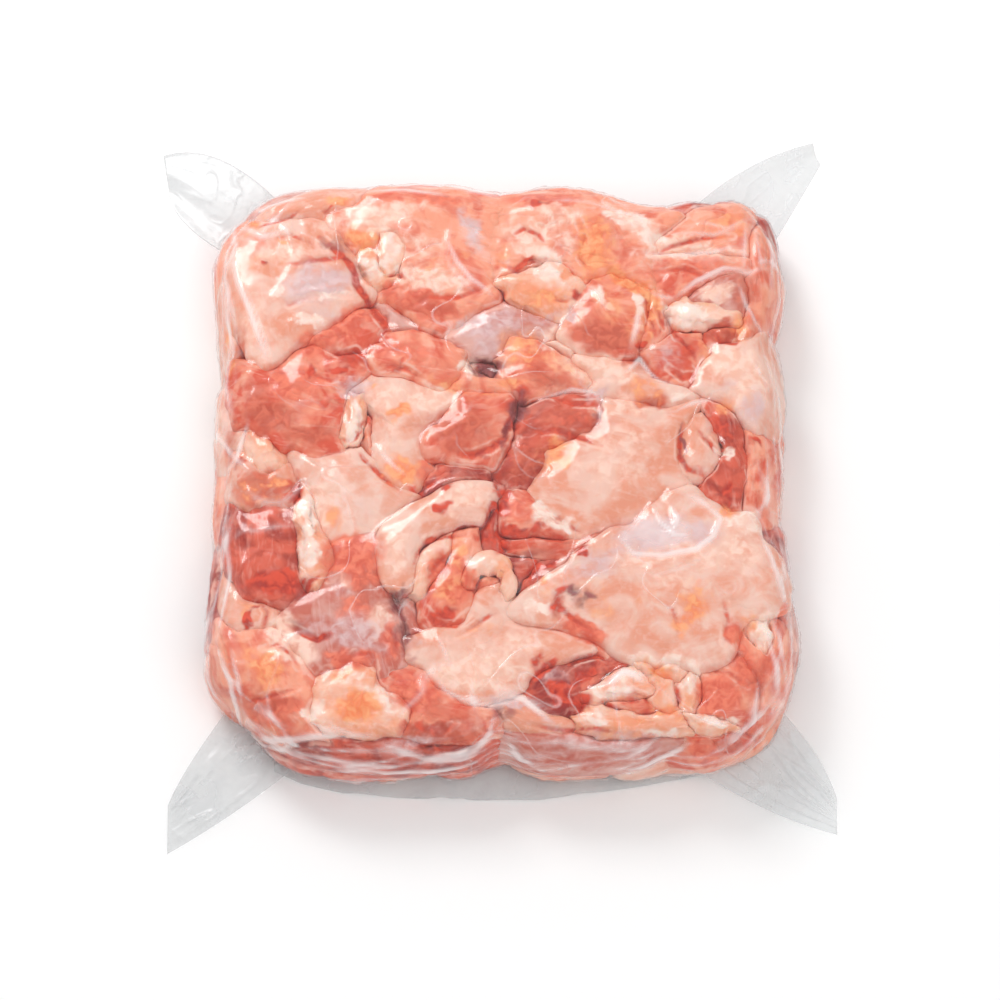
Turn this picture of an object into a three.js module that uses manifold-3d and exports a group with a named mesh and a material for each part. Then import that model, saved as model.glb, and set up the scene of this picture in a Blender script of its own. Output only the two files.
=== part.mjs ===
// A clear vacuum pack of raw chicken pieces, lying flat, with its front edge towards -Y.
// Millimetres, +Z up. Places are measured from the middle of the meat block, on the surface it lies on.
// The finished pack is then moved so that the middle of its whole outline is the origin.

import * as THREE from 'three';
import { mergeVertices } from 'three/addons/utils/BufferGeometryUtils.js';
import Module from 'manifold-3d';

// The block of meat: a rounded square, seen from above
const BLOCK_HALF_WIDTH = 119.5;
const BLOCK_HALF_DEPTH = 128.5;
const BLOCK_SQUARENESS = 5.3;

// Its rounded edge: how high it is widest, and how far the top and the foot draw in from there
const WIDEST_HEIGHT = 14;
const TOP_DRAWS_IN = 20;
const FOOT_DRAWS_IN = 9;
const RIM_SINKS = 3;

// Its top: pieces rise out of a floor, each falls away to its own edge, and they melt into each other
const FURROW_HEIGHT = 30;
const PIECE_FALL = 8;
const PIECE_SQUARENESS = 2.6;
const PIECE_FLATNESS = 4;
const BLEND = 1.1;

// Mesh fineness
const CELLS_ACROSS = 46;
const ROWS_ABOVE_WIDEST = 5;
const ROWS_BELOW_WIDEST = 3;
const SHEET_CELLS_ACROSS = 12;
const SHEET_CELLS_ALONG = 7;
const FLAP_CELLS_ACROSS = 36;
const FLAP_CELLS_ALONG = 2;

// The welded film that stands out past the meat
const WELD_THICKNESS = 1.4;
const EAR_RIPPLE = 1.6;
const EAR_RIPPLES = 2.5;

// Where the outline leaves the rounded square: inwards if depth is above 0
const OUTLINE_DENTS = [
    { x: -120, y: 91, depth: -4, reach: 22 },
    { x: -120, y: -90, depth: -2.5, reach: 25 },
    { x: -106, y: -112, depth: 3, reach: 20 },
    { x: 120, y: 88, depth: -2.5, reach: 22 },
    { x: 119, y: 56, depth: 3.5, reach: 14 },
    { x: 119, y: -20, depth: 2, reach: 20 },
    { x: 120, y: -78, depth: -3, reach: 26 },
    { x: -1, y: 128, depth: 3.5, reach: 13 },
    { x: 70, y: 128, depth: 9, reach: 22 },
    { x: 104, y: 116, depth: -4, reach: 16 },
    { x: 0, y: -128, depth: 7, reach: 10 },
    { x: 73, y: -127, depth: 4, reach: 7 },
];

// The pieces that show on top: place, half length, half width, turn in degrees, and height of the crown
const PIECES = [
    { name: 'skin_back_left', x: -88, y: 76, long: 37, wide: 22, turn: 105, top: 38 },
    { name: 'veil_back_left', x: -76, y: 72, long: 20, wide: 12, turn: 20, top: 39 },
    { name: 'rim_back_left', x: -82, y: 112, long: 25, wide: 11, turn: 15, top: 36 },
    { name: 'crest_back', x: -40, y: 106, long: 37, wide: 17, turn: 0, top: 38 },
    { name: 'lobe_back', x: -27, y: 84, long: 25, wide: 17, turn: 0, top: 40 },
    { name: 'fat_back', x: -56, y: 88, long: 13, wide: 12, turn: 0, top: 40 },
    { name: 'apron_back', x: -27, y: 71, long: 23, wide: 12, turn: 0, top: 37 },
    { name: 'wedge_left', x: -66, y: 55, long: 22, wide: 10, turn: 25, top: 36 },
    { name: 'thigh_left', x: -84, y: 26, long: 28, wide: 20, turn: -5, top: 38 },
    { name: 'skin_spotted', x: -42, y: 11, long: 27, wide: 15, turn: -75, top: 39 },
    { name: 'fold_middle', x: -32, y: 45, long: 24, wide: 11, turn: -10, top: 38 },
    { name: 'lobe_middle', x: -10, y: 14, long: 20, wide: 14, turn: 15, top: 40 },
    { name: 'saddle_middle', x: 2, y: 60, long: 26, wide: 11, turn: -3, top: 36 },
    { name: 'skin_pale_left', x: -66, y: -17, long: 24, wide: 19, turn: -35, top: 39 },
    { name: 'fat_left', x: -98, y: 5, long: 12, wide: 7, turn: -60, top: 36 },
    { name: 'cavity_left', x: -95, y: -13, long: 14, wide: 12, turn: 0, top: 36 },
    { name: 'breast_back', x: 27, y: 97, long: 33, wide: 22, turn: 0, top: 39 },
    { name: 'tail_back', x: 18, y: 79, long: 20, wide: 12, turn: -30, top: 38 },
    { name: 'lobe_right', x: 40, y: 62, long: 18, wide: 15, turn: 0, top: 38 },
    { name: 'corner_back', x: 82, y: 98, long: 27, wide: 12, turn: 8, top: 37 },
    { name: 'corner_fold', x: 84, y: 77, long: 22, wide: 11, turn: 25, top: 38 },
    { name: 'corner_side', x: 108, y: 79, long: 27, wide: 11, turn: 90, top: 35 },
    { name: 'marbled_right', x: 72, y: 44, long: 14, wide: 13, turn: 0, top: 36 },
    { name: 'curl_right', x: 83, y: 62, long: 14, wide: 6, turn: -15, top: 38 },
    { name: 'skin_right', x: 101, y: 33, long: 19, wide: 15, turn: 80, top: 39 },
    { name: 'wedge_middle', x: 17, y: 40, long: 17, wide: 12, turn: -30, top: 38 },
    { name: 'skin_middle', x: 48, y: 33, long: 24, wide: 11, turn: 0, top: 38 },
    { name: 'muscle_centre', x: 22, y: 9, long: 21, wide: 17, turn: 30, top: 38 },
    { name: 'skin_centre', x: 50, y: -3, long: 31, wide: 21, turn: -15, top: 40 },
    { name: 'muscle_right', x: 86, y: 2, long: 25, wide: 13, turn: -75, top: 38 },
    { name: 'side_right', x: 107, y: -1, long: 17, wide: 10, turn: 90, top: 36 },
    { name: 'muscle_left', x: -96, y: -41, long: 23, wide: 15, turn: 90, top: 38 },
    { name: 'strip_left', x: -78, y: -35, long: 18, wide: 6, turn: -85, top: 38 },
    { name: 'side_left', x: -104, y: -73, long: 10, wide: 10, turn: 0, top: 35 },
    { name: 'thigh_front_left', x: -66, y: -65, long: 28, wide: 19, turn: 100, top: 38 },
    { name: 'corner_front_left', x: -94, y: -98, long: 24, wide: 17, turn: -70, top: 35 },
    { name: 'fat_front', x: -55, y: -106, long: 18, wide: 13, turn: -5, top: 37 },
    { name: 'muscle_front', x: -22, y: -108, long: 23, wide: 15, turn: -20, top: 36 },
    { name: 'collar_head', x: -22, y: -18, long: 18, wide: 8, turn: 10, top: 40 },
    { name: 'collar_tail', x: -43, y: -40, long: 20, wide: 7, turn: 95, top: 39 },
    { name: 'tongue', x: -20, y: -56, long: 20, wide: 11, turn: 80, top: 37 },
    { name: 'skin_front', x: 1, y: -84, long: 28, wide: 19, turn: -20, top: 39 },
    { name: 'strip_middle', x: 14, y: -25, long: 15, wide: 8, turn: -25, top: 37 },
    { name: 'band_middle', x: 20, y: -49, long: 22, wide: 7, turn: 35, top: 34 },
    { name: 'slab_right', x: 62, y: -55, long: 48, wide: 27, turn: 10, top: 40 },
    { name: 'slab_tip', x: 22, y: -63, long: 17, wide: 11, turn: 20, top: 38 },
    { name: 'dark_front', x: 33, y: -98, long: 20, wide: 11, turn: 25, top: 36 },
    { name: 'fat_front_right', x: 60, y: -103, long: 19, wide: 14, turn: 0, top: 36 },
    { name: 'corner_front_right', x: 90, y: -103, long: 14, wide: 12, turn: 0, top: 35 },
    { name: 'side_front_right', x: 103, y: -93, long: 20, wide: 8, turn: 90, top: 35 },
];

// Each ear of film: two corners in the meat, two at the tip, and the bend of each side between them
const EARS = [
    {
        name: 'back_left',
        roots: [[-111, 98], [-88, 118]],
        tips: [[-142, 130.5], [-145.4, 150.5]],
        bends: [[-138, 114], [-120, 158]],
        rootHeight: 14,
        tipHeight: 9,
    },
    {
        name: 'back_right',
        roots: [[112, 98], [80, 112]],
        tips: [[138, 145], [135, 154.7]],
        bends: [[126, 136], [104, 154]],
        rootHeight: 14,
        tipHeight: 11,
    },
    {
        name: 'front_left',
        roots: [[-107, -96], [-88, -118]],
        tips: [[-134, -139], [-134.2, -161.3]],
        bends: [[-127, -121], [-106, -148]],
        rootHeight: 9,
        tipHeight: 3,
    },
    {
        name: 'front_right',
        roots: [[110, -97], [86, -118]],
        tips: [[136.6, -139.5], [136.2, -153.3]],
        bends: [[131, -117], [107, -155]],
        rootHeight: 9,
        tipHeight: 3,
    },
];

// The flat flap along the front: how far it reaches, and the three shallow bites in its free edge
const FLAP = { left: -100, right: 92, rootLine: -116, freeLine: -137, rootHeight: 4, freeHeight: 1.6 };
const FLAP_BITES = [
    { x: -86, depth: 8, reach: 11 },
    { x: 0, depth: 2, reach: 9 },
    { x: 74, depth: 10, reach: 13 },
];

const QUARTER_TURN = Math.PI / 2;
const COLOURS = { pack: 0xe8a58f };

// How much of a dent is left at a distance, from 1 at its middle to 0 far away
function fade(distance, reach) {
    return Math.exp(-((distance / reach) ** 2));
}

function mix(from, to, share) {
    return from + (to - from) * share;
}

// The point of the block's outline in a direction from its middle
function outlinePoint(directionX, directionY) {
    const sides = Math.abs(directionX / BLOCK_HALF_WIDTH) ** BLOCK_SQUARENESS
        + Math.abs(directionY / BLOCK_HALF_DEPTH) ** BLOCK_SQUARENESS;
    const reach = sides ** (-1 / BLOCK_SQUARENESS);
    const x = directionX * reach;
    const y = directionY * reach;
    let depth = 0;
    for (const dent of OUTLINE_DENTS) {
        depth += dent.depth * fade(Math.hypot(x - dent.x, y - dent.y), dent.reach);
    }
    const kept = 1 - depth / Math.hypot(x, y);
    return [x * kept, y * kept];
}

// How high one piece stands over a place, falling ever faster towards its edge and beyond
function pieceHeight(piece, x, y) {
    const turn = THREE.MathUtils.degToRad(piece.turn);
    const offX = x - piece.x;
    const offY = y - piece.y;
    const along = (offX * Math.cos(turn) + offY * Math.sin(turn)) / piece.long;
    const across = (offY * Math.cos(turn) - offX * Math.sin(turn)) / piece.wide;
    const away = (Math.abs(along) ** PIECE_SQUARENESS + Math.abs(across) ** PIECE_SQUARENESS)
        ** (1 / PIECE_SQUARENESS);
    return piece.top - PIECE_FALL * away ** PIECE_FLATNESS;
}

// The height of the top, from all pieces and the floor of the furrows; outward runs from 0 to 1 at the rim
function topHeight(x, y, outward) {
    let sum = Math.exp(FURROW_HEIGHT / BLEND);
    for (const piece of PIECES) {
        sum += Math.exp(pieceHeight(piece, x, y) / BLEND);
    }
    return BLEND * Math.log(sum) - RIM_SINKS * outward ** 4;
}

// A point of the top, from two numbers between -1 and 1; the outermost ring lies in from the outline
function topPoint(across, along) {
    const outward = Math.max(Math.abs(across), Math.abs(along));
    if (outward === 0) {
        return [0, 0, topHeight(0, 0, 0)];
    }
    const [edgeX, edgeY] = outlinePoint(across * BLOCK_HALF_WIDTH, along * BLOCK_HALF_DEPTH);
    const scale = outward * (1 - TOP_DRAWS_IN / Math.hypot(edgeX, edgeY));
    const x = edgeX * scale;
    const y = edgeY * scale;
    return [x, y, topHeight(x, y, outward)];
}

// The ring of grid places round the edge, anticlockwise from the front left corner
function rimPlaces() {
    const places = [];
    for (let step = 0; step < CELLS_ACROSS; step += 1) {
        places.push([step, 0]);
    }
    for (let step = 0; step < CELLS_ACROSS; step += 1) {
        places.push([CELLS_ACROSS, step]);
    }
    for (let step = CELLS_ACROSS; step > 0; step -= 1) {
        places.push([step, CELLS_ACROSS]);
    }
    for (let step = CELLS_ACROSS; step > 0; step -= 1) {
        places.push([0, step]);
    }
    return places;
}

// One row of the rounded edge; tilt is 90 degrees on the top's ring, 0 where it is widest, -90 at the foot
function edgePoint(ringPoint, tilt) {
    const [x, y, height] = ringPoint;
    const [edgeX, edgeY] = outlinePoint(x, y);
    const drawsIn = (tilt > 0 ? TOP_DRAWS_IN : FOOT_DRAWS_IN) * (1 - Math.cos(tilt));
    const scale = 1 - drawsIn / Math.hypot(edgeX, edgeY);
    const rise = tilt > 0 ? height - WIDEST_HEIGHT : WIDEST_HEIGHT;
    return [edgeX * scale, edgeY * scale, WIDEST_HEIGHT + rise * Math.sin(tilt)];
}

function pushQuad(triangles, a, b, c, d) {
    triangles.push(a, b, c, a, c, d);
}

function closedGeometry(points, triangles) {
    const geometry = new THREE.BufferGeometry();
    geometry.setAttribute('position', new THREE.Float32BufferAttribute(points.flat(), 3));
    geometry.setIndex(triangles);
    return geometry;
}

// The block of meat under its film: lumpy top, rounded edge and flat foot
function blockGeometry() {
    const points = [];
    const triangles = [];
    const wide = CELLS_ACROSS + 1;
    const gridIndex = (column, row) => row * wide + column;
    for (let row = 0; row < wide; row += 1) {
        for (let column = 0; column < wide; column += 1) {
            points.push(topPoint((2 * column) / CELLS_ACROSS - 1, (2 * row) / CELLS_ACROSS - 1));
        }
    }
    for (let row = 0; row < CELLS_ACROSS; row += 1) {
        for (let column = 0; column < CELLS_ACROSS; column += 1) {
            pushQuad(
                triangles,
                gridIndex(column, row),
                gridIndex(column + 1, row),
                gridIndex(column + 1, row + 1),
                gridIndex(column, row + 1),
            );
        }
    }

    const rim = rimPlaces().map(([column, row]) => gridIndex(column, row));
    const tilts = [];
    for (let row = 1; row <= ROWS_ABOVE_WIDEST; row += 1) {
        tilts.push(QUARTER_TURN * (1 - row / ROWS_ABOVE_WIDEST));
    }
    for (let row = 1; row <= ROWS_BELOW_WIDEST; row += 1) {
        tilts.push((-QUARTER_TURN * row) / ROWS_BELOW_WIDEST);
    }
    let upper = rim;
    for (const tilt of tilts) {
        const lower = rim.map((index) => points.push(edgePoint(points[index], tilt)) - 1);
        for (let step = 0; step < rim.length; step += 1) {
            const next = (step + 1) % rim.length;
            pushQuad(triangles, upper[step], lower[step], lower[next], upper[next]);
        }
        upper = lower;
    }

    const footMiddle = points.push([0, 0, 0]) - 1;
    for (let step = 0; step < upper.length; step += 1) {
        triangles.push(footMiddle, upper[(step + 1) % upper.length], upper[step]);
    }
    return closedGeometry(points, triangles);
}

// A sheet of welded film: place(u, v) gives the middle of its thickness for u and v from 0 to 1
function sheetGeometry(place, cellsAcross, cellsAlong) {
    const points = [];
    const triangles = [];
    const wide = cellsAcross + 1;
    const layer = wide * (cellsAlong + 1);
    for (const side of [1, -1]) {
        for (let row = 0; row <= cellsAlong; row += 1) {
            for (let column = 0; column < wide; column += 1) {
                const [x, y, z] = place(column / cellsAcross, row / cellsAlong);
                points.push([x, y, z + (side * WELD_THICKNESS) / 2]);
            }
        }
    }
    const index = (column, row) => row * wide + column;
    for (let row = 0; row < cellsAlong; row += 1) {
        for (let column = 0; column < cellsAcross; column += 1) {
            const corners = [
                index(column, row),
                index(column + 1, row),
                index(column + 1, row + 1),
                index(column, row + 1),
            ];
            pushQuad(triangles, ...corners);
            pushQuad(triangles, ...corners.reverse().map((corner) => corner + layer));
        }
    }
    const wall = (from, to) => pushQuad(triangles, from, from + layer, to + layer, to);
    for (let column = 0; column < cellsAcross; column += 1) {
        wall(index(column, 0), index(column + 1, 0));
        wall(index(column + 1, cellsAlong), index(column, cellsAlong));
    }
    for (let row = 0; row < cellsAlong; row += 1) {
        wall(index(cellsAcross, row), index(cellsAcross, row + 1));
        wall(index(0, row + 1), index(0, row));
    }
    return closedGeometry(points, triangles);
}

// A point on the curve from one place to another that leans towards a third
function bentPoint(from, bend, to, share) {
    const near = [mix(from[0], bend[0], share), mix(from[1], bend[1], share)];
    const far = [mix(bend[0], to[0], share), mix(bend[1], to[1], share)];
    return [mix(near[0], far[0], share), mix(near[1], far[1], share)];
}

// One ear: rippled film that narrows out of the meat's corner and spreads to its tip
function earGeometry(ear) {
    const place = (u, v) => {
        const one = bentPoint(ear.roots[0], ear.bends[0], ear.tips[0], v);
        const two = bentPoint(ear.roots[1], ear.bends[1], ear.tips[1], v);
        const ripple = EAR_RIPPLE * Math.sin(u * EAR_RIPPLES * 2 * Math.PI) * v * (1 - 0.6 * v);
        return [mix(one[0], two[0], u), mix(one[1], two[1], u), mix(ear.rootHeight, ear.tipHeight, v) + ripple];
    };
    return sheetGeometry(place, SHEET_CELLS_ACROSS, SHEET_CELLS_ALONG);
}

// The flap of film that lies in front of the block
function flapGeometry() {
    const place = (u, v) => {
        const x = mix(FLAP.left, FLAP.right, u);
        let freeLine = FLAP.freeLine;
        for (const bite of FLAP_BITES) {
            freeLine += bite.depth * fade(x - bite.x, bite.reach);
        }
        return [x, mix(FLAP.rootLine, freeLine, v), mix(FLAP.rootHeight, FLAP.freeHeight, v)];
    };
    return sheetGeometry(place, FLAP_CELLS_ACROSS, FLAP_CELLS_ALONG);
}

const wasm = await Module();
wasm.setup();

// A closed geometry as a solid that can be joined, with its faces turned outwards
function solidOf(geometry) {
    const merged = mergeVertices(geometry, 1e-3);
    const triangles = Uint32Array.from(merged.index.array);
    const build = () => new wasm.Manifold(new wasm.Mesh({
        numProp: 3,
        vertProperties: Float32Array.from(merged.attributes.position.array),
        triVerts: triangles,
    }));
    const solid = build();
    if (solid.volume() > 0) {
        return solid;
    }
    for (let corner = 0; corner < triangles.length; corner += 3) {
        [triangles[corner], triangles[corner + 1]] = [triangles[corner + 1], triangles[corner]];
    }
    return build();
}

function geometryOf(solid) {
    const mesh = solid.getMesh();
    const geometry = new THREE.BufferGeometry();
    geometry.setAttribute('position', new THREE.BufferAttribute(Float32Array.from(mesh.vertProperties), 3));
    geometry.setIndex(new THREE.BufferAttribute(Uint32Array.from(mesh.triVerts), 1));
    return geometry;
}

// The whole pack is one closed bag, so block, ears and flap are joined
function packMesh() {
    let solid = solidOf(blockGeometry());
    for (const ear of EARS) {
        solid = solid.add(solidOf(earGeometry(ear)));
    }
    solid = solid.add(solidOf(flapGeometry()));
    const geometry = geometryOf(solid);
    geometry.computeBoundingBox();
    const middle = geometry.boundingBox.getCenter(new THREE.Vector3());
    geometry.translate(-middle.x, -middle.y, 0);
    geometry.computeVertexNormals();
    const material = new THREE.MeshStandardMaterial({ color: COLOURS.pack, roughness: 0.25, metalness: 0 });
    const mesh = new THREE.Mesh(geometry, material);
    mesh.name = 'vacuum_pack';
    return mesh;
}

const pack = new THREE.Group();
pack.add(packMesh());

export default pack;
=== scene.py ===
"""A clear vacuum pack of raw chicken pieces, lying flat: the meat, piece by piece, and the film over it.

Lengths are in millimetres until a mesh is finished, and places are measured from the middle of the meat
block, as in the pack's solid. "Read" places are those of the tables: where the camera sees a thing, on a
level just under the top. "Flat" places are those on the block's skin rolled out level: past the rim they
run on over the rounded edge, down the wall and under the foot, which wrap() works out.
"""

import math
import random
from collections import namedtuple

import bmesh
import bpy
import numpy as np
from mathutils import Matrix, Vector, noise
from mathutils.bvhtree import BVHTree


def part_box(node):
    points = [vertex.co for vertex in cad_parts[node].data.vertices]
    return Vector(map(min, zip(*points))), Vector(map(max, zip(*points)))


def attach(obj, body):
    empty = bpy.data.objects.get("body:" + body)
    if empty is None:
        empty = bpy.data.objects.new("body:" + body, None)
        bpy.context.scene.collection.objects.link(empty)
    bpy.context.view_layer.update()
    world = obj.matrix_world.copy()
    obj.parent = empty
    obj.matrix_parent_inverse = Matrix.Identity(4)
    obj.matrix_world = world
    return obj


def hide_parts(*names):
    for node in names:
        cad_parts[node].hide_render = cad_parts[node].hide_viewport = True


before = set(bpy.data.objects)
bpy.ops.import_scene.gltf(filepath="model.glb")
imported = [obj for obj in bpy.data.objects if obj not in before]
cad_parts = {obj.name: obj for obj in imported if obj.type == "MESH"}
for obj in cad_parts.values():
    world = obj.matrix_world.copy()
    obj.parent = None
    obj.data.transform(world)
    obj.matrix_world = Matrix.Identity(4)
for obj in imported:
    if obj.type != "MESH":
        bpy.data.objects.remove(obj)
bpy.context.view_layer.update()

# Without a seed, noise vectors differ from run to run
noise.seed_set(7)

MM = 0.001
QUARTER_TURN = math.pi / 2

# The camera, and the level that the tables' places are read on, with their origin from the block's middle
CAMERA_DISTANCE = 1600
CAMERA_ELEVATION = math.radians(68)
CAMERA_AIM = np.array([0, -13.5, 18])
CAMERA_WAY = np.array([0, -math.cos(CAMERA_ELEVATION), math.sin(CAMERA_ELEVATION)])
CAMERA_PLACE = CAMERA_AIM + CAMERA_WAY * CAMERA_DISTANCE
PIXEL_AT_AIM = 0.414
IMAGE_PIXELS = 1000
SENSOR_WIDTH = 36
READ_LEVEL = 36
READ_ORIGIN = np.array([0, -13])

# The studio, in metres: its floor, the light from all round, and the lamps with place, size and watts
FLOOR_HALF_SIZE = 6
SKY_STRENGTH = 0.64
LAMP_AIM = (0, 0, 0.02)
LAMPS = [
    ("key_light", (-0.5, 0.85, 0.95), 0.46, 7.4),
    ("fill_light", (0.6, -0.7, 1.3), 1.2, 5.6),
]

PACK_NODE = "vacuum_pack"
ROOT = "root"

# The block of meat, a few millimetres deeper than the solid
BLOCK_HALF_WIDTH = 119.5
BLOCK_BACK_DEPTH = 131
BLOCK_FRONT_DEPTH = 134.5
BLOCK_SQUARENESS = 6.2
WIDEST_HEIGHT = 14
TOP_DRAWS_IN = 20
FOOT_DRAWS_IN = 9
BLOCK_HEIGHT = 38

# Where the outline leaves the rounded square: x, y, depth inwards, reach
OUTLINE_DENTS = [
    (-120, 91, -5.5, 24), (-120, -88, -5, 22), (-106, -120, 7, 22), (120, 92, -5.5, 26), (119, 56, 3.5, 14),
    (119, -20, 2, 20), (120, -80, -5.5, 28), (-1, 131, 3.5, 13), (70, 131, 10.5, 24), (104, 118, -3, 16),
    (0, -134, 6, 10), (70, -133, 4, 9),
]

# The ears of film: two roots in the meat, two tips, the bend of each side, root height, tip height, crumple
# and finish
EARS = {
    "film_ear_back_left": (
        ((-111, 98), (-88, 118)), ((-142, 130.5), (-145.4, 150.5)), ((-138, 114), (-120, 158)), 14, 9, 0.06,
        "welded_film",
    ),
    "film_ear_back_right": (
        ((112, 98), (76, 116)), ((138, 145), (135, 154.7)), ((129, 128), (103, 146)), 14, 11, 0.3,
        "thin_film",
    ),
    "film_ear_front_left": (
        ((-107, -96), (-78, -122)), ((-134.5, -141), (-134.2, -161.3)), ((-129, -127), (-104, -144)), 9, 3, 1,
        "welded_film",
    ),
    "film_ear_front_right": (
        ((110, -97), (72, -122)), ((136.6, -138), (136.2, -153.3)), ((131, -119), (106, -146)), 9, 3, 1,
        "thin_film",
    ),
}
# The free edge of the film's flap, from left to right
FLAP_EDGE = [
    (-92, -126), (-81, -131), (-64, -135), (-42, -137), (-10, -138), (16, -138), (38, -135), (58, -132),
    (75, -129), (86, -126),
]
# Folds across the flap: where, how wide, how high
FLAP_FOLDS = [(-27, 4, 2.6), (-19, 3, 1.6), (30, 5, 1.4), (-60, 4, 1.2)]
LEFTMOST_TIP = -145.4
FOREMOST_TIP = -161.3

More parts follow.
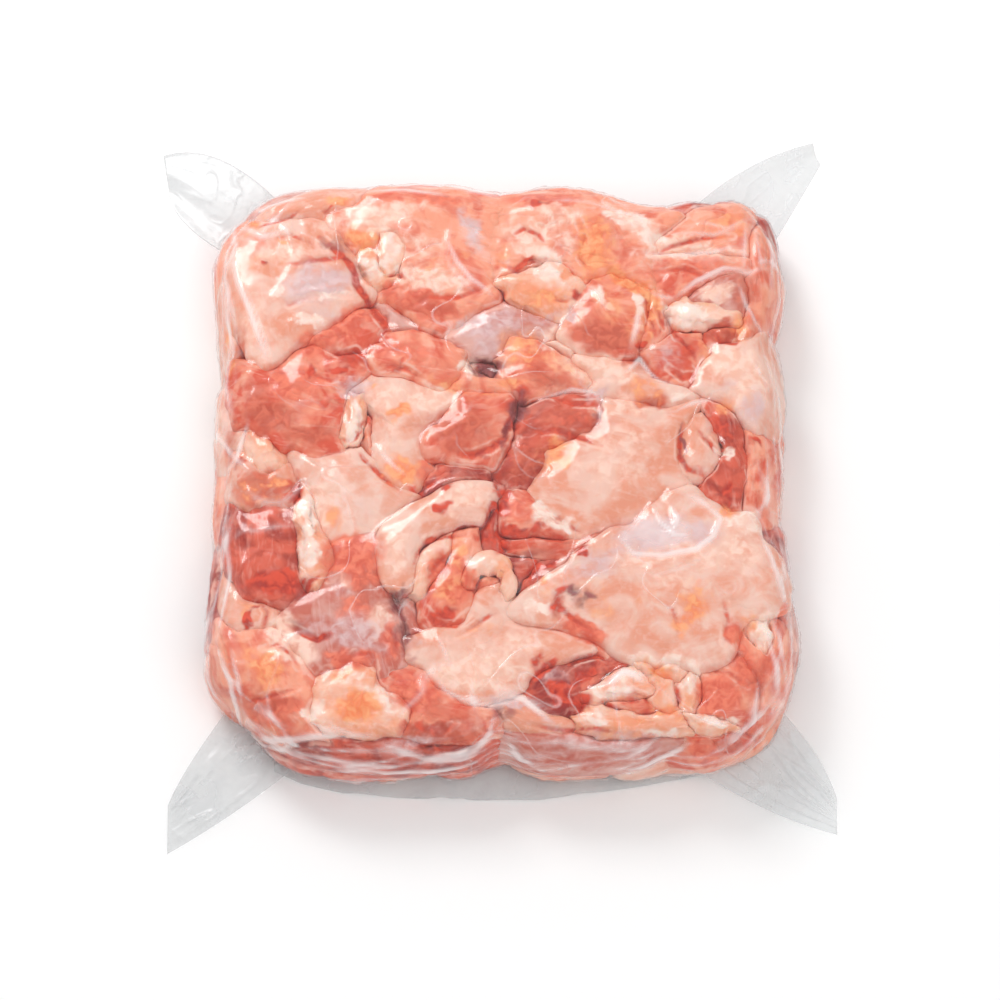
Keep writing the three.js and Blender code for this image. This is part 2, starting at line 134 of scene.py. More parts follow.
# The pieces that show on top: middle, turn, bend radius, crown height, finish, tone, and the outline
PIECES = {
    "skin_back_left": ((-86, 90), 105, 0, 39, "skin", 0.7, [
        (-112, 100), (-106, 116), (-90, 121), (-76, 118), (-66, 107), (-62, 101), (-60, 92), (-60, 82),
        (-70, 75), (-84, 66), (-92, 57), (-97, 53), (-104, 64), (-110, 82),
    ]),
    "rim_back_left": ((-78, 127), 12, 0, 37, "skin", 0.9, [
        (-104, 120), (-98, 127), (-85, 131), (-70, 136), (-58, 137), (-56, 130), (-66, 124), (-76, 119),
        (-90, 121),
    ]),
    "breast_left": ((-35, 106), -20, 0, 38, "muscle", 0.15, [
        (-74, 117), (-66, 124), (-56, 132), (-40, 137), (-20, 137), (-6, 134), (-1, 128), (-4, 112),
        (-2, 96), (-3, 86), (-12, 79), (-26, 70), (-32, 73), (-44, 85), (-52, 92), (-60, 101), (-66, 108),
    ]),
    "fat_tall": ((-46, 105), 90, 0, 38.8, "fat", 0, [
        (-50, 112), (-44, 113), (-42, 106), (-43, 98), (-47, 95), (-50, 100),
    ]),
    "cream_lump": ((-53, 98), 0, 0, 38.6, "fat", 0.4, [
        (-62, 100), (-58, 106), (-50, 107), (-45, 101), (-43, 94), (-48, 90), (-54, 90), (-58, 95),
    ]),
    "pale_wedge_back": ((-42, 76), -40, 0, 36, "membrane", 0.1, [
        (-52, 86), (-44, 83), (-34, 74), (-28, 67), (-38, 68), (-46, 70), (-50, 76),
    ]),
    "wedge_left": ((-68, 67), 25, 0, 37, "muscle", 0.6, [
        (-84, 66), (-70, 74), (-60, 81), (-54, 77), (-49, 70), (-52, 62), (-60, 57), (-72, 58), (-84, 61),
        (-90, 57),
    ]),
    "thigh_left": ((-84, 38), -10, 0, 38.5, "muscle", 0.85, [
        (-110, 58), (-98, 51), (-88, 56), (-78, 60), (-68, 58), (-58, 58), (-54, 50), (-60, 45), (-67, 42),
        (-64, 33), (-62, 27), (-60, 20), (-70, 15), (-80, 14), (-88, 18), (-95, 23), (-105, 27), (-112, 36),
    ]),
    "fat_tail_left": ((-60, 29), 85, 0, 39, "fat", 0.4, [
        (-62, 38), (-57, 39), (-57, 28), (-58, 20), (-63, 18), (-65, 23), (-63, 30),
    ]),
    "fold_middle": ((-36, 57), -15, 0, 38.5, "muscle", 0.4, [
        (-54, 57), (-48, 65), (-42, 69), (-34, 68), (-26, 64), (-19, 60), (-16, 54), (-18, 48), (-24, 43),
        (-32, 46), (-40, 50), (-48, 50), (-54, 52),
    ]),
    "fold_strip": ((-10, 47), -22, 0, 38, "muscle", 0.1, [
        (-24, 50), (-17, 58), (-12, 52), (-6, 48), (2, 47), (4, 42), (-4, 39), (-14, 40), (-24, 43),
    ]),
    "skin_spotted": ((-42, 24), -70, 0, 38, "skin", 0.3, [
        (-66, 42), (-60, 47), (-52, 46), (-44, 50), (-34, 47), (-24, 42), (-14, 40), (-18, 33), (-24, 27),
        (-30, 24), (-30, 14), (-32, 6), (-36, -1), (-42, -3), (-48, 2), (-51, 10), (-52, 20), (-52, 32),
        (-60, 34),
    ]),
    "flank_spotted": ((-54, 21), 80, 0, 36.5, "muscle", 1, [
        (-58, 30), (-50, 32), (-49, 20), (-49, 8), (-54, 12), (-58, 18),
    ]),
    "lobe_middle": ((-13, 25), 15, 0, 39.5, "muscle", 1, [
        (-30, 24), (-22, 30), (-14, 39), (-4, 40), (2, 36), (4, 28), (3, 20), (-2, 14), (-8, 10), (-16, 11),
        (-24, 12), (-31, 16),
    ]),
    "under_lobe": ((-20, 5), 10, 0, 37, "dark", 0.5, [
        (-35, -2), (-30, 6), (-24, 11), (-14, 11), (-6, 8), (-5, 2), (-12, 0), (-22, 0), (-30, -4),
    ]),
    "hollow_meat": ((-6, 53), 0, 0, 33, "dark", 0.9, [
        (-13, 58), (-3, 59), (1, 52), (-3, 46), (-10, 48),
    ]),
    "saddle_middle": ((2, 70), -3, 0, 37.5, "membrane", 0.1, [
        (-25, 70), (-12, 77), (-4, 82), (10, 80), (20, 76), (26, 72), (22, 66), (14, 63), (6, 65), (2, 60),
        (-2, 58), (-12, 58), (-18, 62),
    ]),
    "skin_pale_left": ((-64, -2), -35, 0, 38, "skin", 0, [
        (-89, 18), (-80, 15), (-68, 15), (-60, 18), (-56, 15), (-50, 8), (-44, 1), (-37, -4), (-40, -10),
        (-46, -17), (-49, -21), (-56, -21), (-66, -24), (-70, -27), (-74, -20), (-77, -10), (-79, 0),
        (-84, 12),
    ]),
    "triangle_left": ((-97, 16), -60, 0, 37.5, "fat", 0.2, [
        (-105, 27), (-98, 24), (-93, 20), (-90, 14), (-90, 8), (-97, 5), (-101, 10),
    ]),
    "cavity_left": ((-96, -2), 0, 0, 37.5, "skin", 0.95, [
        (-110, 12), (-100, 6), (-92, 8), (-86, 8), (-82, 0), (-82, -8), (-88, -10), (-96, -12), (-104, -14),
        (-112, -8),
    ]),
    "breast_back": ((30, 113), 0, 0, 38, "muscle", 0.05, [
        (-1, 128), (6, 133), (20, 135), (40, 134), (56, 131), (68, 126), (74, 121), (66, 112), (62, 106),
        (63, 96), (60, 88), (50, 92), (40, 92), (34, 93), (28, 98), (20, 99), (8, 95), (2, 89), (-3, 93),
        (-3, 104), (-1, 116),
    ]),
    "tail_back": ((16, 88), -28, 0, 39.5, "fat", 0.75, [
        (-2, 92), (4, 87), (12, 80), (22, 76), (28, 75), (31, 80), (33, 86), (30, 92), (24, 99), (18, 100),
        (10, 96),
    ]),
    "lobe_right": ((43, 75), 0, 0, 39.5, "muscle", 0.6, [
        (28, 72), (32, 80), (38, 89), (46, 95), (54, 92), (60, 87), (59, 78), (57, 70), (54, 60), (46, 59),
        (36, 61), (30, 64), (25, 68),
    ]),
    "strand_right": ((64, 76), 85, 0, 38, "muscle", 0.5, [
        (60, 87), (66, 86), (71, 80), (71, 70), (66, 66), (61, 62), (57, 62), (59, 74),
    ]),
    "corner_back": ((88, 114), 8, 0, 37, "muscle", 0.05, [
        (66, 113), (74, 121), (86, 125), (98, 128), (106, 127), (108, 120), (105, 112), (103, 104),
        (90, 104), (76, 104), (63, 106),
    ]),
    "corner_fold": ((82, 97), 20, 0, 38, "muscle", 0.45, [
        (63, 105), (78, 104), (92, 104), (103, 103), (104, 97), (94, 94), (82, 90), (72, 82), (67, 86),
        (63, 92),
    ]),
    "corner_side": ((109, 95), 90, 0, 36.5, "muscle", 0.1, [
        (104, 113), (108, 122), (114, 112), (118, 102), (119, 92), (117, 80), (112, 70), (106, 75),
        (102, 84), (101, 92), (104, 100),
    ]),
    "pink_triangle": ((93, 86), 30, 0, 39, "membrane", 0.6, [
        (82, 84), (92, 92), (100, 93), (102, 84), (98, 79), (88, 81),
    ]),
    "marbled_right": ((70, 58), 0, 0, 37, "muscle", 0.7, [
        (60, 68), (68, 70), (72, 73), (79, 70), (86, 66), (88, 58), (85, 50), (79, 46), (70, 44), (64, 47),
        (60, 52), (57, 57), (57, 62),
    ]),
    "curl_right": ((85, 76), -8, 0, 39, "fat", 0, [
        (72, 78), (80, 82), (88, 81), (96, 77), (99, 72), (92, 72), (84, 72), (78, 70), (73, 72),
    ]),
    "brown_triangle": ((92, 67), 0, 0, 37.5, "dark", 0, [
        (87, 72), (99, 71), (97, 64), (92, 61), (87, 65),
    ]),
    "orange_side": ((103, 69), 80, 0, 37.5, "muscle", 0, [
        (98, 71), (104, 77), (108, 70), (105, 61), (97, 61),
    ]),
    "skin_right": ((101, 46), 80, 0, 39, "skin", 0, [
        (86, 56), (92, 61), (100, 62), (108, 62), (113, 60), (117, 52), (119, 42), (118, 32), (114, 26),
        (106, 24), (99, 30), (94, 38), (86, 40), (82, 46),
    ]),
    "wedge_middle": ((17, 51), -25, 0, 38, "muscle", 0.4, [
        (2, 58), (5, 64), (12, 65), (22, 61), (28, 56), (35, 51), (38, 46), (32, 43), (22, 43), (12, 39),
        (4, 42), (1, 48),
    ]),
    "pale_rim_middle": ((20, 65), -18, 0, 37, "skin", 0, [
        (3, 64), (8, 70), (16, 70), (26, 65), (38, 60), (30, 56), (22, 61), (12, 66),
    ]),
    "skin_middle": ((54, 47), -5, 0, 37.5, "skin", 0.5, [
        (28, 58), (38, 60), (50, 58), (56, 56), (64, 48), (72, 44), (80, 46), (84, 44), (82, 40), (76, 36),
        (70, 34), (60, 35), (48, 36), (42, 42), (34, 44), (37, 48),
    ]),
    "muscle_centre": ((18, 20), 30, 0, 37.5, "dark", 0.35, [
        (10, 34), (16, 38), (26, 41), (36, 39), (43, 33), (45, 27), (38, 23), (32, 20), (26, 18), (20, 14),
        (18, 6), (14, 1), (6, -4), (0, 2), (2, 12), (4, 20), (6, 28),
    ]),
    "skin_centre": ((48, 8), -15, 0, 38.5, "skin", 0.8, [
        (42, 38), (50, 36), (60, 35), (72, 34), (80, 33), (78, 26), (74, 18), (72, 10), (74, 2), (76, -3),
        (70, -8), (60, -14), (48, -20), (36, -22), (28, -20), (22, -12), (18, -4), (18, 6), (20, 14),
        (26, 18), (34, 21), (44, 27),
    ]),
    "muscle_right": ((92, 14), -75, 0, 38, "dark", 0.25, [
        (79, 33), (88, 39), (96, 37), (99, 28), (101, 18), (101, 8), (99, -4), (97, -14), (90, -13),
        (84, -9), (75, -3), (75, 4), (84, 6), (89, 10), (90, 18), (86, 23), (80, 27),
    ]),
    "wedge_pale": ((81, 14), 70, 0, 38.5, "skin", 0.7, [
        (75, 28), (80, 31), (86, 25), (89, 17), (88, 8), (82, 4), (75, 3), (73, 13),
    ]),
    "side_right": ((108, 5), 90, 0, 37.5, "muscle", 0.55, [
        (101, 26), (107, 24), (113, 20), (117, 10), (118, -2), (116, -14), (106, -13), (99, -12), (100, 0),
        (101, 12),
    ]),
    "muscle_left": ((-96, -30), 90, 0, 38, "dark", 0.25, [
        (-113, -12), (-104, -14), (-94, -10), (-86, -13), (-82, -20), (-82, -32), (-82, -40), (-80, -46),
        (-86, -52), (-94, -50), (-102, -47), (-108, -40), (-113, -26),
    ]),
    "strip_left": ((-78, -24), 95, 0, 38.7, "fat", 0.3, [
        (-82, -6), (-78, -3), (-76, -12), (-74, -22), (-70, -28), (-68, -32), (-72, -38), (-74, -45),
        (-78, -45), (-81, -38), (-82, -24), (-83, -14),
    ]),
    "side_left": ((-102, -57), 0, 0, 37, "skin", 1, [
        (-114, -42), (-104, -48), (-96, -50), (-88, -54), (-90, -62), (-98, -66), (-106, -66), (-114, -62),
    ]),
    "thigh_front_left": ((-63, -53), 100, 0, 38, "membrane", 1, [
        (-70, -28), (-60, -24), (-50, -21), (-48, -30), (-49, -40), (-46, -50), (-42, -57), (-39, -66),
        (-38, -76), (-46, -81), (-54, -80), (-66, -79), (-76, -76), (-82, -70), (-86, -64), (-89, -56),
        (-82, -50), (-75, -45), (-70, -37),
    ]),
    "corner_front_left": ((-94, -87), -70, 0, 37.5, "muscle", 0.2, [
        (-114, -62), (-104, -66), (-94, -62), (-86, -64), (-80, -72), (-77, -80), (-76, -88), (-72, -93),
        (-78, -101), (-72, -106), (-66, -110), (-80, -112), (-96, -113), (-104, -105), (-112, -92),
        (-117, -78),
    ]),
    "fat_front": ((-56, -96), -5, 0, 38.7, "fat", 0.5, [
        (-71, -90), (-68, -84), (-62, -80), (-52, -81), (-49, -89), (-42, -92), (-37, -97), (-38, -104),
        (-42, -108), (-52, -109), (-62, -108), (-70, -104), (-74, -98),
    ]),
    "muscle_front": ((-26, -98), -25, 0, 38, "muscle", 0.95, [
        (-50, -84), (-40, -79), (-30, -80), (-26, -85), (-20, -91), (-14, -94), (-4, -96), (1, -104),
        (-4, -111), (-14, -114), (-30, -113), (-40, -109), (-37, -98), (-42, -92), (-50, -89),
    ]),
    "wall_front_left": ((-48, -119), 0, 0, 37, "dark", 0.5, [
        (-98, -113), (-80, -112), (-64, -109), (-48, -110), (-38, -108), (-24, -112), (-8, -111), (-1, -113),
        (-3, -119), (-14, -126), (-40, -128), (-66, -126), (-84, -120),
    ]),
    "collar": ((-33, -17), 225, 35, 40, "skin", 0.4, [
        (-48, -20), (-40, -13), (-32, -8), (-24, -2), (-14, 2), (-6, 0), (-3, -6), (-6, -13), (-12, -17),
        (-20, -18), (-28, -22), (-34, -28), (-37, -36), (-38, -44), (-42, -47), (-46, -43), (-49, -34),
        (-50, -26),
    ]),
    "tongue": ((-20, -44), 75, 0, 38.5, "muscle", 1, [
        (-20, -23), (-12, -22), (-8, -28), (-9, -36), (-11, -44), (-11, -54), (-17, -60), (-26, -62),
        (-32, -59), (-31, -50), (-28, -42), (-23, -34),
    ]),
    "tongue_fat": ((-28, -34), 70, 0, 39, "fat", 0, [
        (-32, -28), (-26, -24), (-20, -25), (-22, -33), (-27, -40), (-30, -47), (-34, -46), (-35, -36),
    ]),
    "hook": ((-4.5, -35), 180, 8, 40, "fat", 0.8, [
        (-15, -43), (-13, -37), (-9, -33), (-3, -32), (3, -35), (6, -41), (5, -48), (1, -46), (1, -41),
        (-3, -38), (-8, -40), (-11, -45),
    ]),
    "hook_inside": ((-6, -45), 70, 0, 37.5, "muscle", 0.3, [
        (-11, -46), (-9, -40), (-4, -38), (0, -42), (-1, -50), (-6, -53),
    ]),
    "skin_front": ((-6, -75), -25, 0, 38.5, "skin", 0.8, [
        (-14, -60), (-9, -50), (-4, -44), (2, -45), (5, -50), (6, -57), (12, -62), (22, -63), (32, -67),
        (40, -70), (34, -74), (24, -77), (18, -78), (10, -83), (4, -89), (-2, -91), (-14, -92), (-22, -86),
        (-28, -79), (-36, -76), (-38, -70), (-33, -65), (-26, -63),
    ]),
    "gap_middle": ((-40, -57), 100, 0, 34.5, "membrane", 1, [
        (-47, -45), (-42, -48), (-37, -47), (-34, -50), (-32, -58), (-28, -63), (-36, -67), (-39, -73),
        (-42, -62), (-47, -54),
    ]),
    "red_left": ((-1, -15), 90, 0, 36, "dark", 0.9, [
        (-5, 2), (2, 5), (4, -4), (2, -12), (4, -22), (5, -32), (0, -34), (-8, -31), (-9, -22), (-6, -14),
    ]),
    "strip_middle": ((14, -13), -30, 0, 38.5, "muscle", 0.6, [
        (1, -8), (4, -4), (10, -4), (18, -9), (24, -15), (31, -20), (24, -23), (14, -20), (6, -22), (0, -22),
    ]),
    "band_middle": ((24, -26), 8, 0, 37, "muscle", 1, [
        (2, -24), (14, -21), (26, -23), (36, -22), (48, -19), (40, -26), (32, -30), (22, -32), (12, -31),
        (4, -30),
    ]),
    "oval_middle": ((12, -34), -8, 0, 36.5, "dark", 0.95, [
        (3, -30), (12, -31), (21, -31), (18, -36), (11, -40), (6, -40), (2, -35),
    ]),
    "band_front": ((20, -38), 42, 0, 37, "dark", 0.7, [
        (7, -50), (12, -40), (20, -32), (30, -30), (40, -25), (32, -33), (24, -41), (16, -47), (9, -52),
    ]),
    "slab_right": ((66, -42), 10, 0, 40, "skin", 0.45, [
        (5, -55), (8, -48), (16, -43), (24, -38), (30, -31), (38, -26), (48, -20), (60, -13), (66, -7),
        (72, -3), (82, -6), (92, -13), (102, -22), (111, -34), (115, -44), (114, -54), (106, -57), (98, -60),
        (93, -66), (90, -74), (80, -75), (66, -74), (54, -75), (44, -71), (36, -69), (28, -63), (18, -60),
        (8, -59),
    ]),
    "under_slab": ((34, -66), -28, 0, 37.5, "muscle", 0.8, [
        (20, -61), (28, -60), (38, -64), (46, -70), (42, -74), (34, -70), (26, -66),
    ]),
    "dark_front": ((31, -85), 28, 0, 37, "dark", 1, [
        (11, -80), (18, -77), (26, -76), (34, -72), (44, -72), (52, -76), (54, -82), (46, -82), (38, -88),
        (33, -92), (34, -97), (28, -100), (20, -99), (13, -94), (12, -86),
    ]),
    "fat_triangle": ((48, -87), 15, 0, 38.5, "fat", 0.5, [
        (33, -91), (42, -86), (51, -80), (57, -85), (62, -89), (54, -92), (42, -92),
    ]),
    "fat_lump_one": ((57, -79), -25, 0, 38, "fat", 0.8, [
        (52, -76), (58, -75), (63, -79), (61, -83), (55, -80),
    ]),
    "fat_lump_two": ((69, -79), -10, 0, 38.2, "fat", 0.6, [
        (64, -77), (70, -75), (75, -78), (73, -83), (66, -82),
    ]),
    "fat_lump_three": ((76, -88), 90, 0, 38.1, "fat", 0.5, [
        (74, -80), (79, -83), (80, -92), (77, -97), (73, -92), (72, -85),
    ]),
    "fat_lump_four": ((66, -87), -35, 0, 38, "fat", 0.9, [
        (58, -84), (64, -82), (70, -84), (72, -91), (68, -96), (61, -92),
    ]),
    "red_front": ((54, -95), 0, 0, 37, "muscle", 0.5, [
        (44, -92), (54, -91), (61, -92), (63, -98), (56, -101), (46, -98),
    ]),
    "fat_front_right": ((56, -104), 0, 0, 37.5, "fat", 0.65, [
        (30, -102), (38, -96), (46, -97), (56, -100), (66, -98), (76, -98), (82, -103), (78, -109),
        (70, -111), (56, -110), (42, -111), (32, -107),
    ]),
    "corner_front_right": ((91, -91), 0, 0, 38, "muscle", 0.5, [
        (79, -88), (84, -79), (92, -75), (98, -78), (104, -90), (104, -100), (98, -104), (88, -103),
        (80, -100), (78, -94),
    ]),
    "side_front_right": ((108, -84), 90, 0, 37, "muscle", 0.15, [
        (97, -62), (106, -58), (113, -64), (118, -76), (118, -90), (113, -102), (106, -110), (101, -104),
        (104, -92), (100, -80), (94, -72), (93, -66),
    ]),
    "streak_front_right": ((84, -104), -15, 0, 38.5, "fat", 0, [
        (74, -99), (80, -101), (90, -103), (94, -106), (86, -109), (78, -105),
    ]),
    "fat_side_right": ((104, -63), -65, 0, 38.2, "fat", 0.05, [
        (99, -56), (106, -57), (110, -66), (107, -73), (102, -67), (99, -61),
    ]),
    "front_middle": ((8, -99), -8, 0, 37, "skin", 1, [
        (-8, -95), (0, -93), (8, -90), (14, -94), (20, -99), (30, -101), (32, -107), (18, -109), (6, -108),
        (-2, -106),
    ]),
    "wall_front_right": ((40, -116), 0, 0, 37, "membrane", 0.7, [
        (0, -110), (14, -108), (30, -108), (46, -110), (62, -110), (76, -109), (78, -113), (68, -118),
        (56, -123), (40, -126), (20, -128), (10, -126), (2, -119),
    ]),
    "wedge_front_right": ((87, -115), -15, 0, 37.5, "muscle", 0.8, [
        (76, -109), (88, -107), (99, -113), (98, -118), (88, -123), (84, -126), (76, -122), (71, -118),
        (78, -113),
    ]),
}

